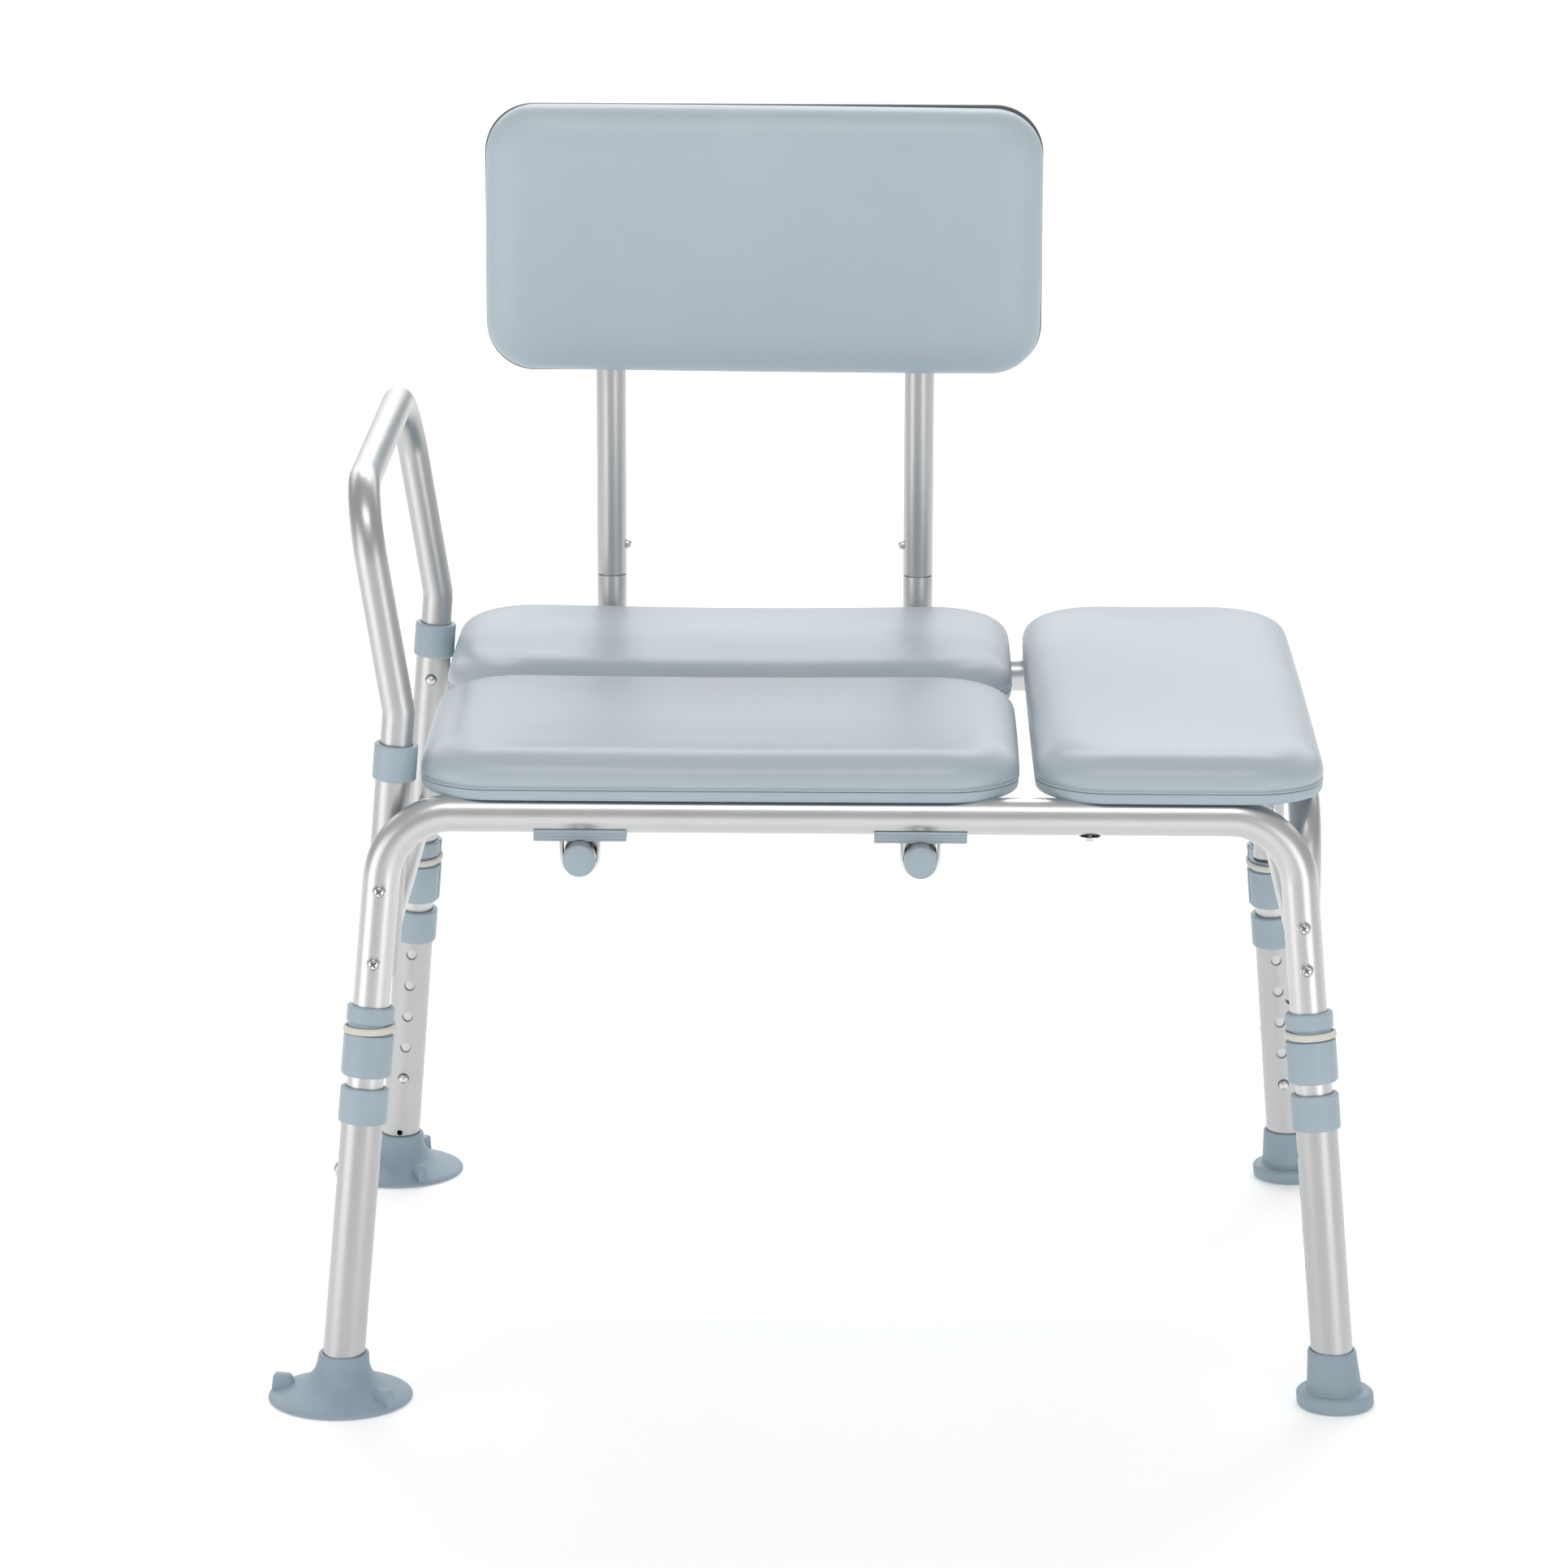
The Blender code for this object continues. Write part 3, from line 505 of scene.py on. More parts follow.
def sideways(c):
    d = leg_axis(c)
    v = Vector((-1, 0, 0))
    return (v - d * v.dot(d)).normalized()


SCREWS = {"front_left": (52.3 * MM, 101.8 * MM), "front_right": (73.2 * MM, 102.0 * MM)}


SHADED = {}


def shade_recess(ob):
    """Paints shade onto the walls and floor of a screw's recess with a near-black steel material."""
    ob.data.materials.append(RECESS_PAINTED_SHADE)
    for f, d in zip(ob.data.polygons, SHADED.get(ob.name, [])):
        f.material_index = 1 if d else 0


def cross_screw(name, at, axis, r=4.8 * MM, h=3.1 * MM, washer=0.0, recess=True):
    """Pan-head screw with a cross recess; at is the point under the head."""
    prof = [(0, -1.5 * MM), (r * 0.45, -1.5 * MM), (r * 0.45, 0.1 * MM), (r, 0.1 * MM)]
    for k in range(1, 8):
        a = math.pi / 2 * k / 8
        prof.append((r * math.cos(a) * (1 - 0.08 * math.sin(a)), 0.5 * MM + (h - 0.5 * MM) * math.sin(a)))
    prof.append((0, h))
    ob = turned(name, prof, (0, 0, 0), (0, 0, 1), 32)
    if recess:
        w, L = r * 0.20, r * 1.02
        cuts = merged("x", [box_mesh("a", (0, 0, h + 0.2 * MM), (L, w, 2.4 * MM)), ])
        boolean(ob, cuts)
        boolean(ob, box_mesh("b", (0, 0, h + 0.2 * MM), (w, L, 2.4 * MM)))
        # faces of the recess floor and walls, which get the painted recess shade
        dark = [abs(f.center.z - (h - 1.0 * MM)) < 0.05 * MM or (h - 1.0 * MM < f.center.z < h and abs(f.normal.z) < 0.05) for f in ob.data.polygons]
        SHADED[name] = dark
    if washer:
        wring = turned("w", [(r * 0.5, -0.9 * MM), (washer, -0.9 * MM), (washer, -0.15 * MM), (washer - 0.3 * MM, 0.05 * MM), (r * 0.5, 0.05 * MM)], (0, 0, 0), (0, 0, 1), 40)
        boolean(ob, wring.data.copy(), "UNION")
        bpy.data.objects.remove(wring, do_unlink=True)
    rot = Vector((0, 0, 1)).rotation_difference(Vector(axis).normalized()).to_matrix().to_4x4()
    ob.data.transform(Matrix.Translation(Vector(at)) @ rot @ Matrix.Rotation(0.6, 4, "Z"))
    return ob


def dome(name, at, axis, r=BUTTON_R, h=5.2 * MM):
    prof = [(0, 0), (r, 0), (r, h * 0.45)]
    for k in range(1, 9):
        a = math.pi / 2 * k / 9
        prof.append((r * math.cos(a), h * 0.45 + h * 0.55 * math.sin(a)))
    prof.append((0, h))
    return turned(name, prof, at, axis, 32)


# front and rear frames
for side, (left, right) in {"front": ("front_left", "front_right"), "rear": ("rear_left", "rear_right")}.items():
    path = filleted([leg_point(left, T_FRAME_END), leg_point(left, 0), leg_point(right, 0), leg_point(right, T_FRAME_END)], [BEND_R, BEND_R], steps=26)
    ob = walled(swept(side + "_frame", path, FRAME_R))
    cuts = []
    for c in (left, right):
        n, d = inward(c), leg_axis(c)
        b = n.cross(d)
        rot = Matrix((b, n, d)).transposed().to_4x4()
        t0, t1 = T_HOLE0 + 4 * PITCH / K - 5.5 * MM, T_FRAME_END + 8 * MM
        cuts.append(box_mesh("slot", leg_point(c, (t0 + t1) / 2) + n * FRAME_R, (8.8 * MM, 14 * MM, (t1 - t0) * K), rot))
        for t in SCREWS.get(c, ()):
            p = leg_point(c, t)
            cuts.append(cyl_mesh("h", p - n * 4 * MM, p - n * 20 * MM, 2.5 * MM, 20))
    boolean(ob, merged("cuts", cuts))
    place(ob, ALU_BAR_PAINTED_LIGHTER, "frame", side + "_frame_tube")

for c, ts in SCREWS.items():
    for label, t in zip(("upper", "lower"), ts):
        n = -inward(c)
        ob = cross_screw("screw_%s_%s" % (c, label), leg_point(c, t) + n * (FRAME_R + 0.15 * MM), n)
        place(ob, CHROME, "frame", "frame_screw_%s_%s" % (c, label))
        shade_recess(ob)

ri = FRAME_R + GAP
BAND_TILT = {"front_left": (1.9, 0.5), "front_right": (0.9, 2.6), "rear_left": (1.9, 0.2), "rear_right": (1.9, 2.9)}


def faceted(ob, lobes, amount, r_min):
    """Soft vertical flats on the outside of a moulded collar."""
    for v in ob.data.vertices:
        r = math.hypot(v.co.x, v.co.y)
        if r > r_min:
            a = math.atan2(v.co.y, v.co.x)
            k = 1 + amount * abs(math.cos(a * lobes / 2)) ** 3 / r
            v.co.x *= k
            v.co.y *= k
    return ob


for c in CORNERS:
    d = leg_axis(c)
    h = lambda t: (t - T_COLLAR[0]) * K
    prof = [(ri, 0), (15.6 * MM, 0), (16.4 * MM, 1.0 * MM), (16.4 * MM, h(T_BAND[0])), (15.2 * MM, h(T_BAND[0])), (15.2 * MM, h(T_BAND[1])),
            (17.3 * MM, h(T_BAND[1])), (17.3 * MM, h(T_COLLAR[1]) - 1.5 * MM), (16.2 * MM, h(T_COLLAR[1])), (ri, h(T_COLLAR[1]))]
    prof = rounded(prof, {1: 0.6 * MM, 2: 0.8 * MM, 3: 0.5 * MM, 6: 0.7 * MM, 7: 1.0 * MM, 8: 0.6 * MM})
    ob = faceted(turned("collar_" + c, prof, sides=96), 8, -0.45 * MM, 15.0 * MM)
    # clamp slit down the inner side of the collar
    boolean(ob, box_mesh("slit", (0, CORNERS[c][1] * -16.5 * MM, h(T_COLLAR[1]) / 2), (1.6 * MM, 4.4 * MM, 60 * MM)))
    rot = Vector((0, 0, 1)).rotation_difference(d).to_matrix().to_4x4()
    ob.data.transform(Matrix.Translation(leg_point(c, T_COLLAR[0])) @ rot @ Matrix.Rotation(math.pi, 4, "Z"))
    place(ob, COLLAR, "frame", "leg_collar_" + c, angle=50)
    w = (T_BAND[1] - T_BAND[0]) * K
    g = 1.7 * MM
    prof = rounded([(15.9 * MM, g), (17.3 * MM, g), (17.9 * MM, g + 1.2 * MM), (17.9 * MM, w - g - 1.2 * MM), (17.3 * MM, w - g), (15.9 * MM, w - g)], {1: 0.5 * MM, 2: 0.9 * MM, 3: 0.9 * MM, 4: 0.5 * MM})
    band = turned("band_" + c, prof, (0, 0, 0))
    wob = BAND_TILT[c]
    rot = Vector((0, 0, 1)).rotation_difference(d).to_matrix().to_4x4()
    band.data.transform(Matrix.Translation(leg_point(c, T_BAND[0])) @ rot)
    at = leg_point(c, (T_BAND[0] + T_BAND[1]) / 2)
    for v in band.data.vertices:
        # the band sits a little askew, highest on the side that faces wob[1]
        a = math.atan2(v.co.y - at.y, v.co.x - at.x)
        v.co -= d * (wob[0] * MM * math.cos(a - wob[1]) + 0.35 * MM * math.sin(2 * a + wob[1]))
    place(band, BAND, "frame", "leg_band_" + c, angle=60)

    body = "leg_" + c
    a, b = leg_point(c, T_EXT_TOP), leg_point(c, T_EXT_END)
    ext = walled(swept("extension_" + c, [a, b], EXT_R), 1.25 * MM)
    n, s = inward(c), sideways(c)
    cuts = []
    for i in range(5):
        p = leg_point(c, T_HOLE0 + i * PITCH / K)
        cuts.append(cyl_mesh("h", p + n * 9 * MM, p + n * 20 * MM, HOLE_R, 28))
    for i in range(4):
        p = leg_point(c, T_SIDE0 + i * PITCH / K)
        cuts.append(cyl_mesh("h", p + s * 9 * MM, p + s * 20 * MM, SIDE_HOLE_R, 24))
    if c == "rear_left":
        p = leg_point(c, 367.5 * MM)
        cuts.append(cyl_mesh("h", p + n * 9 * MM, p + n * 20 * MM, 2.2 * MM, 24))
    boolean(ext, merged("cuts", cuts))
    place(ext, ALU_LEG, body, "leg_extension_" + c)
    L = (T_RING[1] - T_RING[0]) * K
    prof = [(FRAME_R + 0.5 * MM, 0), (15.8 * MM, 0), (16.6 * MM, 0.9 * MM), (16.6 * MM, L - 0.9 * MM), (16.0 * MM, L), (EXT_R + GAP, L), (EXT_R + GAP, 2.2 * MM), (FRAME_R + 0.5 * MM, 2.2 * MM)]
    prof = rounded(prof, {1: 0.6 * MM, 2: 0.8 * MM, 3: 0.8 * MM, 4: 0.4 * MM})
    place(turned("ring_" + c, prof, leg_point(c, T_RING[0]), d), COLLAR, body, "leg_ring_" + c, angle=50)
    p = leg_point(c, T_HOLE0 + 4 * PITCH / K)
    place(dome("snap_" + c, p + n * (EXT_R - 1.2 * MM), n), BUTTON, "button_leg_" + c, "leg_button_" + c, angle=50)

    foot_at = leg_point(c, BAR_H)
    sx, sy = CORNERS[c]
    shear = (-sx * SPLAY_X, -sy * SPLAY_Y)
    if sx < 0:
        prof = [(0, 3.0 * MM), (24 * MM, 3.0 * MM), (40 * MM, 1.8 * MM), (47 * MM, 0), (49.0 * MM, 0), (CUP_R, 0.5 * MM), (CUP_R, 1.2 * MM), (49.0 * MM, 1.9 * MM), (45 * MM, 3.6 * MM), (41 * MM, 5.2 * MM),
                (36 * MM, 6.9 * MM), (30 * MM, 9.3 * MM), (25.5 * MM, 12.2 * MM), (22.0 * MM, 15.4 * MM), (19.6 * MM, 19 * MM), (18.2 * MM, 23 * MM), (17.6 * MM, 26.5 * MM), (17.4 * MM, 29.6 * MM), (17.0 * MM, 30.6 * MM), (16.2 * MM, 31 * MM), (0, 31 * MM)]
        foot = turned("suction_" + c, prof, foot_at, sides=96, shear=shear)
        for deg in ((172, -38) if c == "front_left" else (66, -62)):
            r = math.radians(deg)
            lug = bpy.data.meshes.new("lug")
            bm = bmesh.new()
            # pull tab: a wedge that stands on the cup and leans outward
            pts = [(30.0, 0), (47.6, 0), (48.2, 1.6), (46.8, 12.2), (45.6, 13.6), (36.2, 13.4), (34.2, 11.6)]
            fr = [bm.verts.new((x * MM, -3.3 * MM, (z + 0.6) * MM)) for x, z in pts]
            bk = [bm.verts.new((x * MM, 3.3 * MM, (z + 0.6) * MM)) for x, z in pts]
            bm.faces.new(fr)
            bm.faces.new(bk[::-1])
            for k in range(len(pts)):
                j = (k + 1) % len(pts)
                bm.faces.new((fr[j], fr[k], bk[k], bk[j]))
            bmesh.ops.recalc_face_normals(bm, faces=bm.faces)
            bmesh.ops.bevel(bm, geom=list(bm.edges), offset=0.7 * MM, offset_type="OFFSET", segments=3, profile=0.5, affect="EDGES")
            bm.transform(Matrix.Translation(foot_at) @ Matrix.Rotation(r, 4, "Z"))
            bm.to_mesh(lug)
            bm.free()
            boolean(foot, lug, "UNION")
        mat, nm = CUP, "suction_foot_" + c
    else:
        prof = rounded([(0, 0), (25.4 * MM, 0), (TIP_R, 1.4 * MM), (TIP_R, 8.6 * MM), (24.4 * MM, 10.4 * MM), (19.9 * MM, 10.4 * MM), (18.9 * MM, 11.6 * MM), (16.6 * MM, 37.4 * MM), (15.6 * MM, 38.4 * MM), (0, 38.4 * MM)],
                       {1: 1 * MM, 2: 1.5 * MM, 3: 1.6 * MM, 4: 1.4 * MM, 5: 1 * MM, 6: 1 * MM, 7: 1.2 * MM, 8: 0.6 * MM})
        foot = turned("tip_" + c, prof, foot_at, sides=80, shear=shear)
        mat, nm = TIP, "foot_tip_" + c
    boolean(foot, cyl_mesh("socket", leg_point(c, T_EXT_END + 0.4 * MM), leg_point(c, T_EXT_END - 60 * MM), EXT_R + 0.45 * MM, 48))
    place(foot, mat, body, nm, angle=42)

p = leg_point("front_left", 248.2 * MM)
n = sideways("front_left")
place(dome("side_nub", p + n * (EXT_R - 1.0 * MM), n, 2.7 * MM, 3.0 * MM), STRAP, "leg_front_left")

# ------------------------------------------------------------------ hoop, rails, sockets, arm
hoop = walled(swept("support_hoop", filleted([(HOOP_X, -HOOP_Y, HOOP_LOW_Z), (HOOP_X, -HOOP_Y, HOOP_TOP_Z), (HOOP_X, HOOP_Y, HOOP_TOP_Z), (HOOP_X, HOOP_Y, HOOP_LOW_Z)], [42 * MM, 42 * MM], steps=22), THIN_R))
place(hoop, ALU_LEG, "frame", "side_hoop")
for label, sy in (("front", -1), ("rear", 1)):
    prof = [(0, 8 * MM), (9.6 * MM, 8 * MM), (9.6 * MM, -0.4 * MM), (THIN_R, -0.4 * MM), (THIN_R, -2.2 * MM), (10.2 * MM, -3.0 * MM), (0, -3.0 * MM)]
    plug = turned("hoop_plug_" + label, prof, (HOOP_X, sy * HOOP_Y, HOOP_LOW_Z), sides=40)
    place(plug, DARK, "frame")

socket_x = lambda z: SOCKET_X - SOCKET_SLOPE * (SOCKET_REF_Z - z)
for label, x, reach in (("left", socket_x(RAIL_Z), SOCKET_Y - FRAME_R - 0.4 * MM), ("right", HOOP_X, HOOP_Y - THIN_R - 0.4 * MM)):
    ys = [-reach + k * 2.5 * MM for k in range(18)]
    pts = [(x, y, RAIL_Z) for y in ys] + [(x, -y, RAIL_Z) for y in reversed(ys)]
    rail = swept("rail_" + label, pts, RAIL_R, caps=True)
    for v in rail.data.vertices:
        u = (abs(v.co.y) - (reach - 36 * MM)) / (13 * MM)
        u = max(0.0, min(1.0, u))
        u = u * u * (3 - 2 * u)
        v.co.x = x + (v.co.x - x) * (1 - 0.66 * u)
        v.co.z = RAIL_Z + (v.co.z - RAIL_Z) * (1 + 0.28 * u)
    softened(rail, 0.3 * MM, 2)
    place(rail, ALU_DEPTH, "frame", "lower_rail_" + label)

up_socket = Vector((SOCKET_SLOPE, 0, 1)).normalized()
for label, sy in (("front", -1), ("rear", 1)):
    y = sy * SOCKET_Y
    a, b = Vector((socket_x(SOCKET_Z[0]), y, SOCKET_Z[0])), Vector((socket_x(SOCKET_Z[1]), y, SOCKET_Z[1]))
    sock = walled(swept("socket_" + label, [a, b], FRAME_R))
    p = Vector((socket_x(405 * MM), y, 405 * MM))
    n = Vector((0, -sy, 0))
    boolean(sock, cyl_mesh("h", p + n * 8 * MM, p + n * 20 * MM, HOLE_R, 28))
    place(sock, ALU_LEG, "frame", "arm_socket_" + label)
    place(dome("arm_snap_" + label, p + n * (FRAME_R - 1.1 * MM), n, h=5.1 * MM), BUTTON, "button_arm_" + label, "arm_button_" + label, angle=50)
    z0, z1 = 421.5 * MM, 446 * MM
    H = (z1 - z0) * 1.0034
    top = (SOCKET_Z[1] - z0) * 1.0034 + GAP
    prof = [(FRAME_R + GAP, 0), (14.4 * MM, 0), (15.0 * MM, 0.8 * MM), (15.0 * MM, H - 1 * MM), (14.2 * MM, H), (THIN_R + 0.5 * MM, H), (THIN_R + 0.5 * MM, top), (FRAME_R + GAP, top)]
    prof = rounded(prof, {1: 0.5 * MM, 2: 0.7 * MM, 3: 0.8 * MM, 4: 0.5 * MM})
    place(turned("socket_collar_" + label, prof, (socket_x(z0), y, z0), up_socket), COLLAR, "frame", "arm_socket_collar_" + label, angle=50)

kx = socket_x(ARM_KINK_Z)
tx = kx + ARM_LEAN * (ARM_TOP_Z - ARM_KINK_Z)
pts = []
for sy in (-1, 1):
    y = sy * SOCKET_Y
    leg = [(socket_x(ARM_LOW_Z), y, ARM_LOW_Z), (kx, y, ARM_KINK_Z), (tx, y, ARM_TOP_Z)]
    pts += leg if sy < 0 else leg[::-1]
arm = walled(swept("arm_loop", filleted(pts, [26 * MM, ARM_R, ARM_R, 26 * MM], steps=26), THIN_R))
cuts = []
for sy in (-1, 1):
    z0, z1 = ARM_LOW_Z - 8 * MM, 405 * MM + 5.5 * MM
    zc = (z0 + z1) / 2
    cuts.append(box_mesh("slot", (socket_x(zc), sy * (SOCKET_Y - THIN_R), zc), (8.8 * MM, 12 * MM, z1 - z0), Matrix.Rotation(math.atan(SOCKET_SLOPE), 4, "Y")))
boolean(arm, merged("cuts", cuts))
place(arm, ALU_LEG, "arm", "arm_rail")

# ------------------------------------------------------------------ back supports, saddles, posts
for label, x in zip(("left", "right"), POST_X):
    split = POST_SPLIT_Z - 1.0 * MM
    sup = swept("support_" + label, filleted([(x, SUPPORT_FRONT, SUPPORT_Z), (x, POST_Y, SUPPORT_Z), (x, POST_Y, split)], [50 * MM], steps=26), THIN_R, caps=True)
    softened(sup, 0.8 * MM, 3, 60)
    spig = turned("spig", [(0, -12 * MM), (9.3 * MM, -12 * MM), (9.3 * MM, 54 * MM), (8.3 * MM, 56 * MM), (0, 56 * MM)], (x, POST_Y, split), sides=48)
    boolean(sup, spig.data.copy(), "UNION")
    bpy.data.objects.remove(spig, do_unlink=True)
    z0, z1 = 485.4 * MM - 5.5 * MM, split + 64 * MM
    sgn = 1 if label == "left" else -1
    boolean(sup, box_mesh("slot", (x + sgn * 9 * MM, POST_Y, (z0 + z1) / 2), (9 * MM, 8.8 * MM, z1 - z0)))
    place(sup, ALU_DEPTH, "frame", "back_support_" + label)
    prof = rounded([(0, GAP), (THIN_R - 1.2 * MM, GAP), (THIN_R - 1.2 * MM, 0.9 * MM), (THIN_R - 0.1 * MM, 1.1 * MM), (THIN_R - 0.1 * MM, 3.2 * MM), (10.0 * MM, 4.2 * MM), (0, 4.2 * MM)], {2: 0.5 * MM, 3: 1 * MM, 4: 1 * MM})
    place(turned("support_plug_" + label, prof, (x, SUPPORT_FRONT, SUPPORT_Z), (0, -1, 0), 48), CAPP, "frame", "back_support_cap_" + label, angle=50)

    post = walled(swept("post_" + label, [(x, POST_Y, POST_SPLIT_Z), (x, POST_Y, POST_TOP_Z)], THIN_R))
    p = Vector((x, POST_Y, 485.4 * MM))
    n = Vector((sgn, 0, 0))
    boolean(post, cyl_mesh("h", p + n * 6 * MM, p + n * 20 * MM, HOLE_R, 28))
    place(post, ALU_LEG, "back_rest", "back_post_" + label)
    place(dome("back_snap_" + label, p + n * (THIN_R - 1.1 * MM), n, h=5.1 * MM), BUTTON, "button_back_" + label, "back_button_" + label, angle=50)

    for end, sy in (("front", -1), ("rear", 1)):
        y = sy * HALF_D
        blk = put("saddle_%s_%s" % (end, label), box_mesh("blk", (x, y, 390.55 * MM), (63 * MM, 19 * MM, 8.5 * MM)))
        softened(blk, 0.5 * MM, 2)
        # fine grooves across the front and rear faces
        cuts = []
        for gz in (-1.6, 0.4, 2.4):
            for gy in (-1, 1):
                cuts.append(box_mesh("g", (x, y + gy * 9.5 * MM, 389.6 * MM + gz * MM), (70 * MM, 0.5 * MM, 0.35 * MM)))
        boolean(blk, merged("g", cuts))
        boolean(blk, cyl_mesh("bar", (x - 60 * MM, y, BAR_H), (x + 60 * MM, y, BAR_H), FRAME_R + 0.35 * MM, 48))
        boolean(blk, cyl_mesh("tube", (x, y - 40 * MM, SUPPORT_Z), (x, y + 40 * MM, SUPPORT_Z), THIN_R + 0.35 * MM, 48))
        place(blk, SADDLE, "frame", "back_saddle_%s_%s" % (end, label))
        # strap that wraps the support tube from below
        ri_, ro_ = THIN_R + 0.35 * MM, THIN_R + 2.9 * MM
        bm = bmesh.new()
        prof2 = []
        zt = 386.9 * MM
        for r_, rev in ((ro_, False), (ri_, True)):
            seg = [(r_, zt - SUPPORT_Z)] + [(r_ * math.cos(a), r_ * math.sin(a)) for a in [-math.pi * k / 28 for k in range(29)]] + [(-r_, zt - SUPPORT_Z)]
            prof2 += seg[::-1] if rev else seg
        fr = [bm.verts.new((x + px, y - 8.5 * MM, SUPPORT_Z + pz)) for px, pz in prof2]
        bk = [bm.verts.new((x + px, y + 8.5 * MM, SUPPORT_Z + pz)) for px, pz in prof2]
        m_ = len(prof2)
        for k in range(m_):
            j = (k + 1) % m_
            bm.faces.new((fr[k], fr[j], bk[j], bk[k]))
        half = m_ // 2
        for k in range(half - 1):
            bm.faces.new((fr[k], fr[m_ - 1 - k], fr[m_ - 2 - k], fr[k + 1]))
            bm.faces.new((bk[k], bk[k + 1], bk[m_ - 2 - k], bk[m_ - 1 - k]))
        bmesh.ops.recalc_face_normals(bm, faces=bm.faces)
        me = bpy.data.meshes.new("strap")
        bm.to_mesh(me)
        bm.free()
        st = put("strap_%s_%s" % (end, label), me)
        softened(st, 0.35 * MM, 2, 60)
        place(st, STRAP, "frame", None)


# ------------------------------------------------------------------ pads
def outline(x, y, inset, corner, n_arc=14):
    """Points of a rounded rectangle, inset from the outer one, always the same count."""
    x0, x1, y0, y1 = x[0] + inset, x[1] - inset, y[0] + inset, y[1] - inset
    r = max(corner - inset * 0.55, 6 * MM)
    r = min(r, (x1 - x0) / 2 - 0.5 * MM, (y1 - y0) / 2 - 0.5 * MM)
    pts = []
    n_side = 22
    corners = [((x1 - r, y0 + r), -90), ((x1 - r, y1 - r), 0), ((x0 + r, y1 - r), 90), ((x0 + r, y0 + r), 180)]
    for i, ((cx, cy), a0) in enumerate(corners):
        arc = [(cx + r * math.cos(math.radians(a0 + 90 * k / n_arc)), cy + r * math.sin(math.radians(a0 + 90 * k / n_arc))) for k in range(n_arc + 1)]
        pts += arc
        nx = corners[(i + 1) % 4]
        e = (nx[0][0] + r * math.cos(math.radians(nx[1])), nx[0][1] + r * math.sin(math.radians(nx[1])))
        s = arc[-1]
        for k in range(1, n_side):
            u = k / n_side
            pts.append((s[0] + (e[0] - s[0]) * u, s[1] + (e[1] - s[1]) * u))
    return pts


def cushion(name, x, y, corner, profile, bow=0.0, ripple=0.25, sag=0.0, pucker=0.0):
    """Moulded pad: loops that follow the outline; profile is a list of (inset, height) from the
    bottom middle, round the seam and over the roll to the crown."""
    bm = bmesh.new()
    loops = []
    cx, cy = (x[0] + x[1]) / 2, (y[0] + y[1]) / 2
    hw, hd = (x[1] - x[0]) / 2, (y[1] - y[0]) / 2
    for inset, z in profile:
        pts = outline(x, y, inset, corner)
        lp = []
        for px, py in pts:
            u, v = (px - cx) / hw, (py - cy) / hd
            # sides pull in a little towards the corners
            px2 = px - (1 if u > 0 else -1) * bow * (v * v) * min(1, abs(u)) ** 6
            py2 = py - (1 if v > 0 else -1) * bow * (u * u) * min(1, abs(v)) ** 6
            dz = ripple * MM * noise.noise(Vector((px * 14, py * 14, 3.1)))
            if z > 0.006 and sag:
                dz -= sag * min(1.0, z / 0.02) * math.cos(min(1.0, abs(u)) * math.pi / 2) ** 1.6
            if pucker and 0.0001 < z < 0.0045:
                near = max(0.0, min(1.0, (abs(u) + abs(v) - 1.55) / 0.2))
                wave = math.sin(math.atan2(v, u) * 58 + 3 * u) * near * math.sin(math.pi * min(1.0, z / 0.0045))
                px2 -= math.copysign(pucker * wave, u) * 0.7
                py2 -= math.copysign(pucker * wave, v) * 0.7
            lp.append(bm.verts.new((px2, py2, z + (dz if z > 0.012 else dz * 0.6))))
        loops.append(lp)
    n = len(loops[0])
    for a, b in zip(loops, loops[1:]):
        for k in range(n):
            j = (k + 1) % n
            bm.faces.new((a[k], a[j], b[j], b[k]))
    bm.faces.new(loops[0][::-1])
    bm.faces.new(loops[-1])
    bmesh.ops.triangulate(bm, faces=[f for f in bm.faces if len(f.verts) > 4])
    bmesh.ops.recalc_face_normals(bm, faces=bm.faces)
    me = bpy.data.meshes.new(name)
    bm.to_mesh(me)
    bm.free()
    return put(name, me)


def crown(profile, steps, top, deepest):
    """Continues the profile over the top to the middle with a gentle crown."""
    d0, z0 = profile[-1]
    out = list(profile)
    for k in range(1, steps + 1):
        u = k / steps
        d = d0 + (deepest - d0) * u
        out.append((d, z0 + (top - z0) * math.sin(u * math.pi / 2)))
    return out


SEATS = {
    "front": (MAIN_X, (SEAT_FRONT, PAD_SPLIT - PAD_GAP / 2)),
    "rear": (MAIN_X, (PAD_SPLIT + PAD_GAP / 2, SEAT_REAR)),
    "side": (SIDE_X, (SEAT_FRONT, SEAT_REAR + 3 * MM)),
}
SAG = {"front": 1.2 * MM, "rear": 2.4 * MM, "side": 0.6 * MM}
zp0 = SEAT_Z0 + BOARD_T + GAP


def rolled(foot, wall_top, depth, span, steps=12):
    """Profile of one pad: seam bead and groove, short wall, then a soft quarter roll of the given
    height and inset."""
    out = list(foot)
    for k in range(1, steps + 1):
        a = math.pi / 2 * k / steps
        out.append((foot[-1][0] + span * (1 - max(0.0, math.cos(a)) ** 0.8), wall_top + depth * math.sin(a)))
    return [(d * MM, z * MM) for d, z in out]


